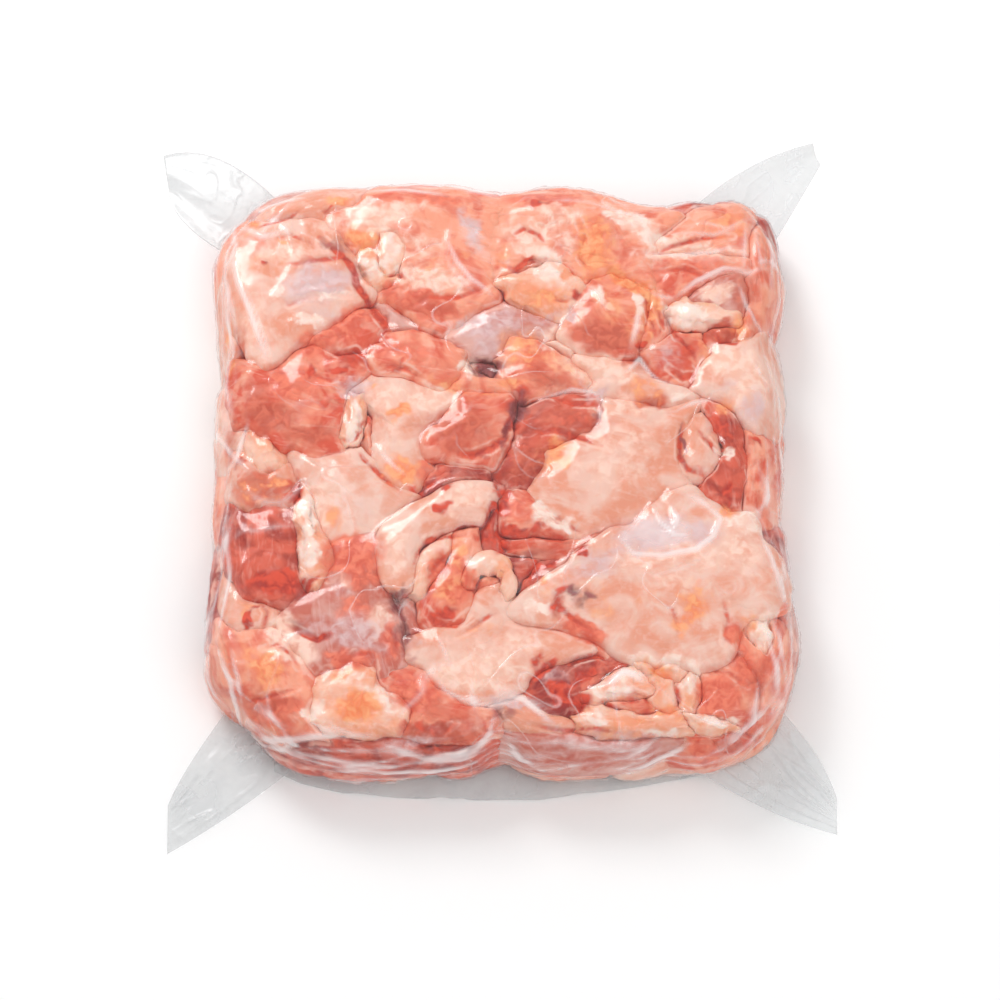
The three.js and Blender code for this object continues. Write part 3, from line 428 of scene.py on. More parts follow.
# Marks on the meat: x, y, half length, half width, turn, strength
MARKS = {
    "fat": [
        (-59, 111, 7, 5, -20, 1), (-68, 130, 6, 3.5, 0, 0.8), (-41, 32, 4.6, 4.2, 0, 1),
        (-41, 6, 6.5, 6, 0, 1), (-44, 12, 5, 3, 0, 0.35), (-53, 43, 2, 1.5, 0, 0.5), (-97, 99, 8, 5, 0, 0.3),
        (-90, 110, 2.5, 1.5, 0, 0.6), (-28, 99, 3, 2, 0, 0.45), (-14, 103, 4, 3, 0, 0.4),
        (51, 93, 14, 3.5, -38, 0.8), (10, 58, 7, 6, 0, 0.55), (100, 122, 6, 3, 0, 0.5),
        (61, 68, 2, 8, 5, 0.5), (80, -48, 5, 5, 0, 0.5), (60, -50, 6, 4, 0, 0.25), (40, -48, 5, 4, 0, 0.25),
        (76, -94, 3, 4, 0, 0.4), (-102, -2, 6, 4, 0, 0.5), (-94, -8, 4, 2, 0, 0.4),
        (-22, 44, 9, 3, -20, 0.5), (-115, 68, 3, 6, 0, 0.7), (-111, 56, 3, 7, 0, 0.5),
        (-5, 40, 6, 2, 0, 0.5), (-104, 118, 3, 6, -20, 0.7), (40, 106, 8, 13, 5, 0.75),
        (38, 100, 3, 7, 20, 0.6), (54, 90, 12, 2.5, -35, 0.95), (64, 80, 3, 9, 10, 0.7),
        (8, 62, 8, 8, 0, 0.6), (24, 54, 12, 4, -20, 0.4), (5, 45, 6, 3, -10, 0.6), (96, 117, 10, 4, 20, 0.5),
        (100, 70, 4, 6, 0, 0.6), (24, 13, 6, 7, 0, 0.85), (60, 42, 7, 6, -20, 0.6), (84, 60, 2, 5, 10, 0.5),
        (93, 34, 4, 4, -20, 0.5), (20, 85, 7, 6, 0, 0.7), (2, 103, 4, 5, 0, 0.5), (46, 80, 6, 10, 10, 0.4),
        (56, 72, 4, 8, 0, 0.4), (-58, -97, 9, 6, 0, 0.95), (-63, -84, 5, 3, 0, 0.7),
        (-93, -80, 6, 9, 0, 0.7), (-100, -75, 5, 6, 0, 0.5), (-68, -15, 4, 6, 20, 0.6),
        (-90, 1, 6, 3, 0, 0.7), (-104, -55, 4, 4, 0, 0.5), (-10, -64, 10, 3, 10, 0.4),
        (-22, -46, 6, 6, 0, 0.5), (-17, -30, 4, 6, 0, 0.6), (78, -54, 5, 8, 10, 0.8),
        (74, -62, 5, 6, 0, 0.6), (18, -45, 4, 3, 20, 0.6), (42, -56, 6, 4, -20, 0.4),
        (63, -82, 7, 4, -20, 0.8), (66, -98, 4, 5, 60, 0.7), (93, -12, 4, 3, 0, 0.6),
        (100, -60, 4, 3, 0, 0.5),
    ],
    # White fat and tissue, and a few painted highlights on the lobes
    "white_and_highlight": [
        (-46, 106, 3, 8, 0, 1), (-53, 98, 6, 5, 0, 0.6), (-93, 88, 2, 6, -15, 0.6), (-80, 73, 6, 2, 0, 0.8),
        (-72, 84, 12, 1.6, 8, 0.5), (-60, 27, 2.5, 9, -5, 0.8), (-13, 53, 3, 5, -20, 0.8),
        (22, 92, 4, 8, 20, 0.9), (42, 83, 2, 6, 30, 0.7), (58, 80, 2, 10, 5, 0.7), (63, 114, 4, 8, 40, 0.7),
        (92, 14, 3, 2, 0, 0.7), (75, 40, 6, 2, -10, 0.6), (16, -12, 4, 3, -20, 0.7),
        (25, -17, 5, 2.5, -35, 0.8), (-60, -85, 5, 3, 0, 0.6), (-44, -97, 5, 5, 0, 0.5),
        (20, 97, 5, 9, 10, 0.8), (56, 120, 12, 5, -30, 0.8), (78, 77, 10, 4, -10, 0.9),
        (-78, -14, 3, 12, 0, 0.9), (-77, -30, 4, 6, 0, 0.9), (-8, -36, 6, 3, -10, 0.8),
        (-75, -98, 4, 4, 0, 0.8), (-48, -92, 8, 4, -20, 0.6), (15, -55, 5, 3.5, 0, 0.9),
        (57, -78, 5, 3, -10, 0.9), (69, -77, 5, 3, 0, 0.9), (77, -84, 3, 6, 0, 0.9),
        (45, -90, 9, 3, 10, 0.7), (52, -84, 6, 3, 10, 0.7), (88, -103, 8, 2, -8, 0.9),
        (106, -64, 4, 6, -20, 0.9), (66, -108, 8, 3, 0, 0.6), (37, -102, 5, 3, 0, 0.7),
        (20, -16, 9, 4, -15, 0.7), (100, -18, 8, 6, 0, 0.7),
    ],
    # Blood spots, and thin red lines along crevices between pieces as painted shade
    "blood_and_shade": [
        (-67, 51, 4, 2, 20, 0.9), (-62, 57, 6, 4, 30, 0.6), (-79, 51, 1.5, 3, 0, 0.7),
        (-58, 51, 3, 3, 0, 0.5), (-71, 36, 6, 4, -20, 0.5), (-44, 52, 4, 1.3, 15, 0.6),
        (-48, 72, 5, 2, -60, 0.6), (4, 25, 2.6, 9, -15, 1), (8, 36, 4, 3, 0, 0.9),
        (-73, 126, 2, 1.5, 0, 0.6), (-97, 98, 1.2, 1.2, 0, 0.8), (-43, 94, 1.5, 2, 60, 0.4),
        (79, 62, 4, 5, 30, 0.4), (74, 46, 4, 1.5, 0, 0.5), (80, 4, 4, 2, 0, 0.4), (-108, 8, 2, 3, -20, 0.8),
        (-102, -58, 2.2, 4, -15, 0.95), (-74, -67, 5, 1.8, 5, 1), (-82, -64, 3, 1.5, -30, 0.5),
        (-27, -60, 4, 2, 0, 0.4), (8, 38, 5, 3, -20, 0.6), (30, 28, 9, 4, -10, 0.35), (0, -8, 2, 8, 0, 0.8),
        (-8, 13, 6, 1.2, -10, 0.6), (3, 12, 2, 10, -10, 0.5), (23, -16, 2, 1, -20, 0.5),
        (14, 127, 5, 2, 10, 0.9), (13, 101, 4, 2, 15, 0.9), (60, 63, 2.2, 2.5, 0, 0.95),
        (31, 84, 2.5, 2.5, 30, 0.9), (94, -4, 1.8, 4.5, 0, 0.95), (106, 18, 3, 2, -30, 0.8),
        (90, 26, 5, 5, 0, 0.5), (52, 56, 1.5, 4, 0, 0.5), (-90, -44, 12, 4, -5, 1), (-86, -40, 4, 3, 0, 0.9),
        (-98, -42, 4, 3, 0, 0.9), (-22, -57, 5, 3, 10, 0.95), (-85, -3, 3, 6, 0, 1),
        (-23, -11, 3, 3, 20, 0.8), (-28, -1, 8, 1.6, 10, 0.9), (-8, -24, 3, 3, 0, 0.6),
        (2, -4, 2, 6, 0, 0.9), (-5, -20, 2, 6, 0, 0.7), (-110, -17, 2, 2, 0, 0.6), (-28, -106, 6, 3, 0, 0.6),
        (25, -91, 7, 4, -20, 1), (30, -94, 6, 3.5, -10, 1), (18, -80, 5, 2.5, 30, 1),
        (34, -83, 8, 3, 30, 0.8), (44, -96, 4, 2, -25, 0.7), (24, -47, 4, 2.5, 20, 0.7),
        (22, -53, 4, 5, 20, 0.7), (35, -31, 2.5, 2, 0, 0.9), (16, -37, 8, 2.5, 40, 0.9),
        (8, -21, 8, 1.8, 5, 0.9), (-2, -12, 2, 6, 0, 0.9), (55, -93, 4, 3, 0, 0.7), (1, -8, 3, 9, 0, 1),
        (0, -25, 3, 7, 0, 0.9),
    ],
    # Dusky purple tissue, and painted shade in the hollows and along the furrows between pieces
    "dusk_and_shade": [
        (-6, 53, 5.5, 4, 0, 1), (-70, 108, 8, 2.5, -25, 0.5), (-60, 94, 2, 6, 0, 0.5),
        (2, 18, 2, 10, -15, 0.5), (-36, -76, 3, 2, 0, 0.4), (-26, 69, 2, 2, 0, 0.4), (42, 31, 2, 4, 25, 0.7),
        (70, 72, 1.5, 6, 0, 0.5), (75, 18, 1.2, 8, 0, 0.8), (8, 34, 5, 4, 20, 0.95), (3, 22, 2, 9, -15, 0.8),
        (-42, -52, 4, 4, 30, 0.95), (-39, -62, 2.5, 10, 8, 0.8), (-82, -62, 6, 3, -30, 0.5),
        (0, -100, 2.5, 5, 0, 0.6), (-80, -48, 4, 3, 0, 0.5), (29, -48, 3, 3, 0, 0.9),
        (33, -52, 2, 4, -40, 0.8), (12, -31, 7, 3, 10, 0.5), (4, -98, 4, 2, -30, 0.5),
    ],
    "lilac": [
        (-77, 90, 14, 9, 15, 0.8), (-75, 76, 10, 5, 10, 0.4), (-61, 42, 7, 5, 0, 0.8),
        (-12, 115, 4, 10, 25, 0.7), (-5, 72, 14, 6, 15, 0.7), (35, -38, 12, 6, 20, 0.4),
        (-62, -48, 5, 4, -30, 0.4), (-62, -10, 10, 8, 0, 0.3), (70, 57, 7, 8, 0, 0.4),
        (95, 44, 4, 8, -30, 0.35), (95, 85, 4, 4, 0, 0.3), (35, -112, 30, 6, 0, 0.35),
        (-40, -116, 8, 3, 0, 0.4), (5, -95, 10, 2, -10, 0.7), (22, -84, 4, 5, 0, 0.5),
        (42, 40, 3, 4, -30, 0.6), (104, 33, 6, 8, -20, 0.6), (30, 76, 2.5, 4, 30, 0.7),
        (36, 42, 3, 4, 0, 0.5), (20, 75, 12, 3, 5, 0.4), (-3, 62, 8, 5, 0, 0.6), (-60, -64, 14, 8, 0, 0.6),
        (-52, -70, 8, 4, 0, 0.5), (-76, -62, 6, 4, -20, 0.4), (-35, -68, 3, 4, 0, 0.5),
        (-34, -112, 10, 3, 0, 0.6), (62, -23, 14, 8, 5, 0.9), (82, -22, 8, 6, 0, 0.7),
        (40, -36, 12, 6, 20, 0.6), (40, -112, 20, 5, 0, 0.5), (20, -104, 6, 3, -20, 0.4),
    ],
    "salmon": [
        (-32, 81, 15, 5, -15, 0.85), (-46, 86, 5, 4, -30, 0.6), (-18, 24, 10, 9, 10, 0.5),
        (38, 66, 10, 6, 0, 0.5), (-96, -98, 12, 7, -10, 0.6), (85, 98, 12, 5, 15, 0.4),
        (66, 96, 6, 8, 0, 0.3), (-25, 130, 18, 3, 0, 0.5), (15, 131, 14, 3, 0, 0.6),
        (-80, 100, 6, 2, 20, 0.4), (-30, 6, 6, 4, 20, 0.5), (-100, 110, 5, 4, 0, 0.3),
        (-75, 63, 14, 5, 30, 0.6), (-65, 72, 10, 5, 35, 0.7), (-85, 45, 14, 8, 10, 0.5),
        (-40, 60, 12, 6, -20, 0.5), (-60, -32, 11, 9, 0, 0.85), (-56, -42, 6, 6, 0, 0.5),
        (-58, -56, 8, 5, 0, 0.5), (-44, -68, 4, 7, 0, 0.6), (-60, -76, 9, 4, 0, 0.7),
        (-33, -92, 12, 7, -20, 0.7), (-90, -97, 12, 5, 5, 0.7), (-20, -42, 8, 10, 20, 0.9),
        (33, -64, 9, 4, -25, 0.8), (5, -11, 6, 5, 0, 0.8), (88, -92, 9, 7, 0, 0.9), (98, -80, 5, 10, 0, 0.6),
        (115, -62, 3, 8, -10, 0.8), (95, -66, 4, 5, 0, 0.7), (82, -118, 8, 3, -30, 0.7),
        (36, -84, 10, 5, 30, 0.4),
    ],
    # Brown tone of the meat, and painted shade under pieces and on their lower sides
    "umber_and_shade": [
        (-95, 30, 14, 7, -10, 0.7), (-80, 22, 10, 5, 0, 0.6), (-100, 40, 6, 5, 0, 0.5),
        (-28, 80, 14, 4, -5, 0.5), (-10, 20, 10, 5, 20, 0.5), (-110, 60, 4, 8, 0, 0.5),
        (44, 66, 14, 7, -10, 0.7), (93, 68, 6, 4, 0, 0.9), (104, 88, 6, 8, 0, 0.5),
        (30, 28, 14, 6, -10, 0.6), (10, 10, 10, 8, 0, 0.4), (62, 37, 8, 3, 0, 0.6), (58, 56, 6, 4, 0, 0.5),
        (22, 46, 12, 5, -15, 0.5), (-26, -108, 14, 5, 0, 0.7), (-90, -95, 10, 3, 5, 0.6),
        (-36, -115, 12, 4, 0, 0.5), (-20, -100, 14, 5, -10, 0.4), (92, -114, 8, 3, -10, 0.8),
        (104, -86, 5, 8, 0, 0.5), (30, -108, 8, 3, 0, 0.5), (60, -110, 8, 2, 0, 0.5),
        (20, -28, 8, 4, 0, 0.5), (-112, 20, 4, 12, 0, 0.5), (-97, -2, 14, 8, 0, 0.6),
        (-15, 24, 12, 10, 10, 0.6),
    ],
    "pale": [
        (-52, 121, 14, 7, 0, 0.7), (-35, 98, 12, 7, -10, 0.3), (15, 112, 13, 8, 0, 0.5),
        (-45, 22, 5, 10, 0, 0.3), (50, 18, 14, 10, 0, 0.35), (45, 5, 14, 7, 0, 0.35),
        (88, -30, 18, 10, 0, 0.4), (-12, -6, 8, 6, 0, 0.5), (-12, -78, 16, 8, 20, 0.4),
        (-102, 72, 6, 12, 0, 0.4), (85, -95, 4, 6, 0, 0.2), (-90, 104, 10, 5, 0, 0.5),
        (-72, 118, 8, 4, 10, 0.3), (-45, 126, 20, 3, 0, 0.4), (-30, 92, 16, 6, -5, 0.6),
        (-35, 110, 10, 6, 0, 0.4), (-45, 38, 10, 6, 20, 0.5), (-30, 38, 12, 5, -10, 0.5),
        (24, 122, 10, 5, 0, 0.5), (28, 110, 4, 8, 0, 0.4), (12, 108, 6, 5, 0, 0.6), (72, 106, 14, 5, 5, 0.7),
        (88, 104, 14, 5, 0, 0.6), (90, 86, 7, 4, 10, 0.7), (104, 90, 5, 10, 0, 0.4),
        (30, 62, 12, 5, -20, 0.8), (40, 52, 16, 6, -10, 0.7), (50, 34, 12, 5, 0, 0.6),
        (96, 54, 12, 7, -10, 0.8), (104, 40, 8, 12, -20, 0.7), (-62, -42, 5, 4, -20, 0.6),
        (-50, -60, 5, 6, 0, 0.6), (-85, -72, 10, 6, 0, 0.6), (-88, -62, 6, 6, 0, 0.6),
        (-70, -10, 12, 10, 0, 0.6), (-44, -30, 5, 12, 0, 0.6), (-18, -8, 12, 5, 10, 0.7),
        (-32, -32, 4, 5, 0, 0.8), (-25, -28, 5, 4, 0, 0.7), (-10, -82, 20, 8, 10, 0.6),
        (60, -36, 16, 4, 0, 0.5), (94, -30, 12, 8, 0, 0.5), (70, -44, 14, 5, 0, 0.3),
        (10, -70, 12, 5, 0, 0.4),
    ],
}

# Folds in the meat: depth, width, then the places they run through. Their depth is also painted as shade
# along them
FOLDS = [
    (1.6, 1.6, [(-76, 112), (-70, 106), (-64, 101), (-61, 96), (-60, 90), (-56, 84), (-51, 76), (-46, 69)]),
    (0.9, 1.6, [(-92, 99), (-84, 99), (-76, 101), (-68, 102), (-62, 101)]),
    (0.7, 1.5, [(-91, 83), (-88, 80), (-80, 84), (-70, 85), (-60, 85)]),
    (0.6, 1.5, [(-92, 92), (-86, 87), (-76, 89), (-68, 93), (-62, 93)]),
    (0.7, 1.4, [(-97, 110), (-88, 113), (-80, 109), (-76, 104)]),
    (0.9, 1.4, [(-104, 116), (-98, 118), (-90, 121), (-82, 127)]),
    (1.1, 1.3, [(-66, 20), (-62, 18.5), (-59, 21), (-57, 27), (-53, 31)]),
    (1, 1.4, [(-59, 16), (-56, 11), (-50, 5), (-45, 0), (-40, -4)]),
    (1.3, 1.5, [(-20, 14), (-12, 12), (-4, 15), (2, 20), (4, 25)]),
    (0.8, 1.3, [(-50, 51), (-44, 53), (-38, 51), (-32, 47)]),
    (1, 1.5, [(-72, 62), (-66, 58), (-60, 60), (-56, 55), (-52, 50)]),
    (0.8, 1.4, [(-82, 52), (-76, 48), (-70, 46), (-64, 48)]),
    (0.8, 1.5, [(-40, 78), (-30, 84), (-18, 84), (-8, 88), (-3, 92)]),
    (0.9, 1.4, [(-48, 93), (-43, 95), (-38, 91)]),
    (1, 1.5, [(0, 100), (6, 97), (10, 100), (14, 101)]),
    (0.9, 1.5, [(4, 112), (10, 116), (16, 113), (20, 107)]),
    (1, 1.4, [(32, 122), (36, 112), (34, 102), (40, 94)]),
    (1.4, 1.3, [(60, 90), (62, 78), (65, 67)]),
    (1, 1.2, [(66, 88), (66, 78), (68, 70)]),
    (1.2, 1.4, [(46, 96), (54, 90), (60, 86)]),
    (1, 1.4, [(60, 104), (72, 108), (86, 112), (98, 113)]),
    (0.9, 1.4, [(66, 96), (78, 97), (88, 92)]),
    (1.2, 1.5, [(72, 72), (74, 66), (80, 60), (82, 54)]),
    (1, 1.3, [(86, 73), (92, 64), (98, 63), (102, 70)]),
    (0.9, 1.4, [(70, 52), (76, 48), (82, 50)]),
    (0.9, 1.4, [(56, 38), (62, 36), (70, 36)]),
    (1, 1.3, [(20, 40), (30, 36), (40, 36), (44, 30)]),
    (1.1, 1.4, [(10, 22), (22, 24), (34, 20), (42, 16)]),
    (1.2, 1.3, [(76, 27), (74, 20), (74, 12), (77, 6), (83, 4)]),
    (1, 1.3, [(80, 26), (85, 19), (90, 13), (98, 12)]),
    (0.9, 1.4, [(88, 30), (92, 22), (98, 20)]),
    (1, 1.3, [(18, 86), (24, 82), (30, 82)]),
    (1.2, 1.4, [(-86, -52), (-80, -49), (-77, -43), (-72, -40)]),
    (1.2, 1.4, [(-88, -60), (-80, -65), (-73, -68), (-68, -66)]),
    (0.8, 1.4, [(-64, -79), (-58, -74), (-52, -74), (-50, -80)]),
    (1, 1.4, [(-46, -62), (-42, -66), (-42, -74)]),
    (0.9, 1.4, [(-98, -50), (-94, -56), (-96, -64)]),
    (1, 1.4, [(-80, -88), (-88, -91), (-97, -94), (-104, -96)]),
    (0.8, 1.4, [(-96, -72), (-90, -70), (-84, -74), (-80, -82)]),
    (1, 1.4, [(-36, -42), (-34, -32), (-29, -25), (-20, -23), (-10, -22)]),
    (0.9, 1.3, [(-30, -44), (-26, -36), (-20, -30), (-16, -26)]),
    (1, 1.4, [(-30, -55), (-26, -61), (-18, -62), (-12, -56)]),
    (0.8, 1.4, [(-20, -68), (-10, -62), (-4, -58), (2, -56)]),
    (1, 1.3, [(18, -18), (24, -15), (30, -20), (34, -22)]),
    (1, 1.4, [(2, -20), (10, -22), (20, -24), (30, -27)]),
    (1, 1.4, [(22, -46), (24, -54), (30, -60), (40, -66)]),
    (0.7, 1.5, [(64, -52), (70, -56), (72, -64), (70, -72)]),
    (0.7, 1.5, [(90, -50), (92, -60), (90, -70)]),
    (1.3, 1.4, [(20, -84), (22, -90), (28, -94), (34, -92)]),
    (1, 1.3, [(24, -80), (32, -76), (40, -74), (46, -78)]),
    (0.9, 1.3, [(72, -82), (71, -88), (72, -94), (67, -101)]),
    (0.9, 1.3, [(52, -90), (58, -92), (60, -97), (54, -100)]),
    (0.8, 1.4, [(82, -80), (92, -82), (100, -88)]),
    (0.9, 1.5, [(10, -104), (24, -107), (38, -106), (52, -109)]),
    (0.9, 1.5, [(-50, -110), (-38, -113), (-24, -116), (-8, -114)]),
    (0.8, 1.4, [(-28, -102), (-22, -107), (-18, -104)]),
]

# Milky places of the film: x, y, half length, half width, turn, strength
VEILS = [
    (-77, 90, 16, 9, 20, 0.45), (-12, 112, 5, 13, 25, 0.55), (66, -24, 18, 8, 5, 0.75),
    (10, -95, 13, 3, -20, 0.7), (102, 50, 10, 8, 90, 0.25), (90, 106, 16, 4, 10, 0.35),
    (30, -48, 14, 7, 30, 0.25), (-106, 112, 9, 8, 50, 0.5), (105, 110, 4, 12, 0, 0.45),
    (-103, -104, 5, 12, -20, 0.5), (100, -112, 10, 6, 0, 0.4), (60, -36, 16, 4, 0, 0.3),
    (-114, 30, 5, 55, 0, 0.35), (114, -30, 5, 55, 0, 0.4), (-110, -60, 4, 30, 0, 0.35),
    (30, 131, 40, 3, 0, 0.3),
]

# Ridges in the film: height, width, then the places it runs through
CREASES = [
    (1.2, 1.6, [(-112, 104), (-110, 92), (-104, 76), (-100, 64), (-95, 53)]),
    (0.8, 1.3, [(-108, 92), (-101, 74), (-97, 62), (-93, 52)]),
    (0.8, 1.5, [(-112, 118), (-111, 108), (-112, 98)]),
    (1, 1.8, [(-110, 116), (-100, 111), (-88, 115)]),
    (0.8, 1.5, [(-106, 122), (-94, 127), (-80, 132)]),
    (0.6, 1.3, [(-90, 117), (-80, 112), (-68, 105)]),
    (0.6, 1.4, [(-76, 86), (-66, 86), (-60, 84)]),
    (0.6, 1.4, [(-88, 71), (-80, 73), (-72, 71)]),
    (1, 1.5, [(-20, 121), (-22, 109), (-18, 100), (-12, 92), (-5, 87), (-2, 82)]),
    (0.8, 1.4, [(-16, 119), (-10, 114), (-4, 109)]),
    (0.7, 1.4, [(-25, 112), (-21, 98), (-14, 89), (-8, 84)]),
    (0.8, 1.4, [(107, 121), (96, 116), (80, 120)]),
    (0.8, 1.4, [(106, 118), (90, 113), (68, 114)]),
    (0.9, 1.4, [(104, 122), (103, 108), (102, 95)]),
    (0.7, 1.4, [(107, 120), (109, 106), (110, 96)]),
    (1.1, 1.4, [(71, 82), (82, 91), (94, 97), (105, 97)]),
    (0.9, 1.5, [(60, 105), (74, 103), (90, 105), (104, 110)]),
    (0.9, 1.4, [(99, 92), (103, 80), (110, 63)]),
    (0.8, 1.4, [(113, 116), (115, 100), (113, 84)]),
    (0.9, 1.2, [(12, 35), (20, 39), (30, 42), (38, 41), (44, 36), (54, 34)]),
    (1, 1.2, [(51, 49), (54, 51), (58, 56), (62, 50), (66, 46), (78, 42)]),
    (0.9, 1.2, [(69, 30), (80, 36), (91, 38)]),
    (0.7, 1.4, [(22, 66), (26, 72), (32, 79)]),
    (1.2, 1.5, [(62, -9), (65, -18), (71, -24), (82, -24)]),
    (1, 1.4, [(70, -10), (72, -17), (71, -23)]),
    (1.2, 1.6, [
        (70, -3), (82, -8), (90, -16), (87, -24), (80, -30), (66, -33), (54, -32), (49, -25), (50, -18),
    ]),
    (0.6, 1.6, [(50, -33), (62, -42), (78, -37), (87, -29)]),
    (1.3, 1.7, [(-2, -92), (9, -93), (15, -98), (21, -103)]),
    (0.9, 1.4, [(-18, -94), (-4, -96), (8, -95)]),
    (0.9, 1.3, [(-27, -82), (-22, -90), (-14, -94), (-3, -93)]),
    (0.8, 1.3, [(-26, -65), (-23, -72), (-20, -79)]),
    (0.8, 1.4, [(-52, 17), (-44, 8), (-37, 2)]),
    (0.9, 1.4, [(3, -112), (8, -120), (18, -125)]),
    (1.1, 1.4, [(76, -113), (66, -119), (52, -125)]),
    (0.9, 1.4, [(74, -99), (84, -104), (95, -105)]),
    (0.9, 1.5, [(100, -57), (108, -66), (111, -80), (112, -96)]),
    (0.8, 1.4, [(106, -50), (113, -68), (115, -90)]),
    (0.8, 1.4, [(104, -20), (110, -34), (113, -50)]),
    (1.2, 1.7, [(-113, -74), (-108, -88), (-105, -100), (-104, -110)]),
    (0.8, 1.4, [(-109, -68), (-105, -86), (-103, -98)]),
    (1.1, 1.7, [(-98, -111), (-82, -111), (-62, -109)]),
    (0.8, 1.3, [(-78, -102), (-71, -106), (-62, -109)]),
    (0.8, 1.4, [(-92, -114), (-70, -119), (-42, -123)]),
    (0.8, 1.4, [(-60, -123), (-32, -126), (-10, -121)]),
    (0.7, 1.4, [(-50, -112), (-30, -119), (-10, -117)]),
    (0.9, 1.5, [(-117, 22), (-110, 12), (-102, 4)]),
    (0.8, 1.5, [(-103, 30), (-108, 14), (-113, 0)]),
    (0.8, 1.5, [(-115, 84), (-112, 60), (-114, 36)]),
    (0.8, 1.5, [(-112, -16), (-110, -40), (-113, -62)]),
    (0.7, 1.5, [(113, 40), (116, 20), (115, -8)]),
    (1, 1.8, [(33, -89.5), (42, -88), (50, -82), (56, -85), (60, -89)]),
    (0.9, 1.5, [(58, 81), (57, 70), (54, 60)]),
    (0.9, 1.6, [(36, 90), (42, 84), (43, 76)]),
    (0.8, 1.5, [(62, 86), (68, 84), (74, 83)]),
    (0.8, 1.5, [(96, 97), (104, 95), (112, 98)]),
    (0.7, 1.4, [(-62, 132), (-40, 133), (-18, 130)]),
    (0.7, 1.4, [(10, 130), (34, 128), (56, 122), (70, 118)]),
    (0.8, 1.6, [(-84, 132), (-92, 124), (-98, 116), (-104, 104)]),
    (0.7, 1.4, [(-116, 96), (-113, 84), (-110, 70)]),
    (0.8, 1.5, [(-70, -101), (-66, -106), (-58, -109), (-48, -109)]),
    (0.7, 1.4, [(106, 10), (110, -6), (104, -18)]),
    (0.7, 1.4, [(88, -112), (96, -108), (104, -100)]),
    (0.8, 1.5, [(-78, -110), (-88, -116), (-100, -112)]),
    (0.7, 1.4, [(20, -112), (44, -116), (64, -114)]),
    (0.8, 1.4, [(-2, -100), (-4, -108), (-10, -116)]),
]

# The film's grid, and how it settles
FILM_CELLS = 290
CREASE_SPREAD = 1.05
CREASE_RISE = 0.8
FILM_GAP = 0.35
FILM_SAG = 0.12
FILM_TURNS = 120
FILM_SOFTENING = 8
FILM_FOOT_RINGS = 9
FILM_FLOOR = 0.1
# Rays that look for the meat: where they start over the block's skin, how long they are, the depth where one
# finds nothing, and the deepest that the film may go
RAY_START = 6
RAY_LENGTH = 20
DEPTH_WITHOUT_MEAT = 8
DEEPEST_FILM = 9
# The welded film of ears and flap: its thickness, and how low its middle may lie
WELD_THICKNESS = 0.5
WELD_FLOOR = 0.6
EAR_CELLS = 72, 60
FLAP_CELLS = 160, 22
FLAP_ROOT = -120

# The grids of the meat: their cells and the rows down their flanks, where they show and where they hardly do
PIECE_CELL = 0.8
PIECE_ROWS = 10
HIDDEN_CELL = 1.6
HIDDEN_ROWS = 6
CORE_CELL = 5
# A pressed piece: how thick and how rounded it is, the height it is held under, and its gap to the table
PIECE_THICKNESS = 24
EDGE_ROUNDING = 4
PIECE_DOME = 1.6
PIECE_SQUARENESS = 2.5
PRESSED_HEIGHT = 40.5
MEAT_GAP = 0.7
# Rims: in how many directions they are held, how far they grow to meet others, how far they go under them,
# and how deep they are tucked there
RIM_ANGLES = 120
RIM_GROWTH = 6
RIM_OVERLAP = 2
TUCK_DEPTH = 4.5
# How many pieces the wall and the table side have, and how far those below lie apart and within the outline
WALL_PIECES = 23
TABLE_COLUMNS, TABLE_ROWS = 4, 5
TABLE_STEPS = 54, 47
TABLE_INSET = 10

# A piece from above: its rim is its reach in each direction, as a share of its half length and half width
Lump = namedtuple("Lump", "x y turn bend top finish tone long wide rim")

# How each kind of meat is kneaded: wavelengths and reaches, then how deep its wrinkles are
KNEADING = {
    "muscle": (((17, 1.8), (7, 1.1), (3.2, 0.3)), 0.6),
    "dark": (((14, 1.8), (6, 1.3), (2.8, 0.5)), 0.6),
    "skin": (((24, 2.0), (9, 1.3), (4, 0.4)), 0.15),
    "membrane": (((20, 2.0), (8, 0.9), (4, 0.25)), 0.2),
    "fat": (((11, 1.5), (5, 1.6), (2.4, 0.6)), 0.3),
}
KNEADING_LEVELS = Vector((1, 1, 0.5))

# How each kind looks: three tones, patch colour and share, streak colour and share, softness
MEAT_LOOKS = {
    "muscle": (
        ((247, 166, 136), (221, 88, 60), (243, 144, 110)), (248, 198, 176), 0.42,
        (252, 200, 182), 0.3, 0.2,
    ),
    "dark": (
        ((222, 100, 74), (153, 30, 23), (206, 76, 54)), (232, 150, 132), 0.45,
        (242, 176, 162), 0.35, 0.2,
    ),
    "skin": (
        ((241, 200, 184), (234, 158, 130), (247, 213, 201)), (234, 156, 126), 0.42,
        (252, 226, 214), 0.15, 0.22,
    ),
    "membrane": (
        ((224, 170, 158), (205, 108, 88), (235, 191, 180)), (200, 100, 88), 0.4,
        (246, 214, 208), 0.25, 0.2,
    ),
    "fat": (
        ((248, 200, 178), (242, 161, 124), (252, 219, 205)), (244, 164, 116), 0.45,
        (255, 240, 230), 0.15, 0.28,
    ),
}
# The pale tissue along the rim of a piece
RIM_COLOUR = (251, 206, 190)
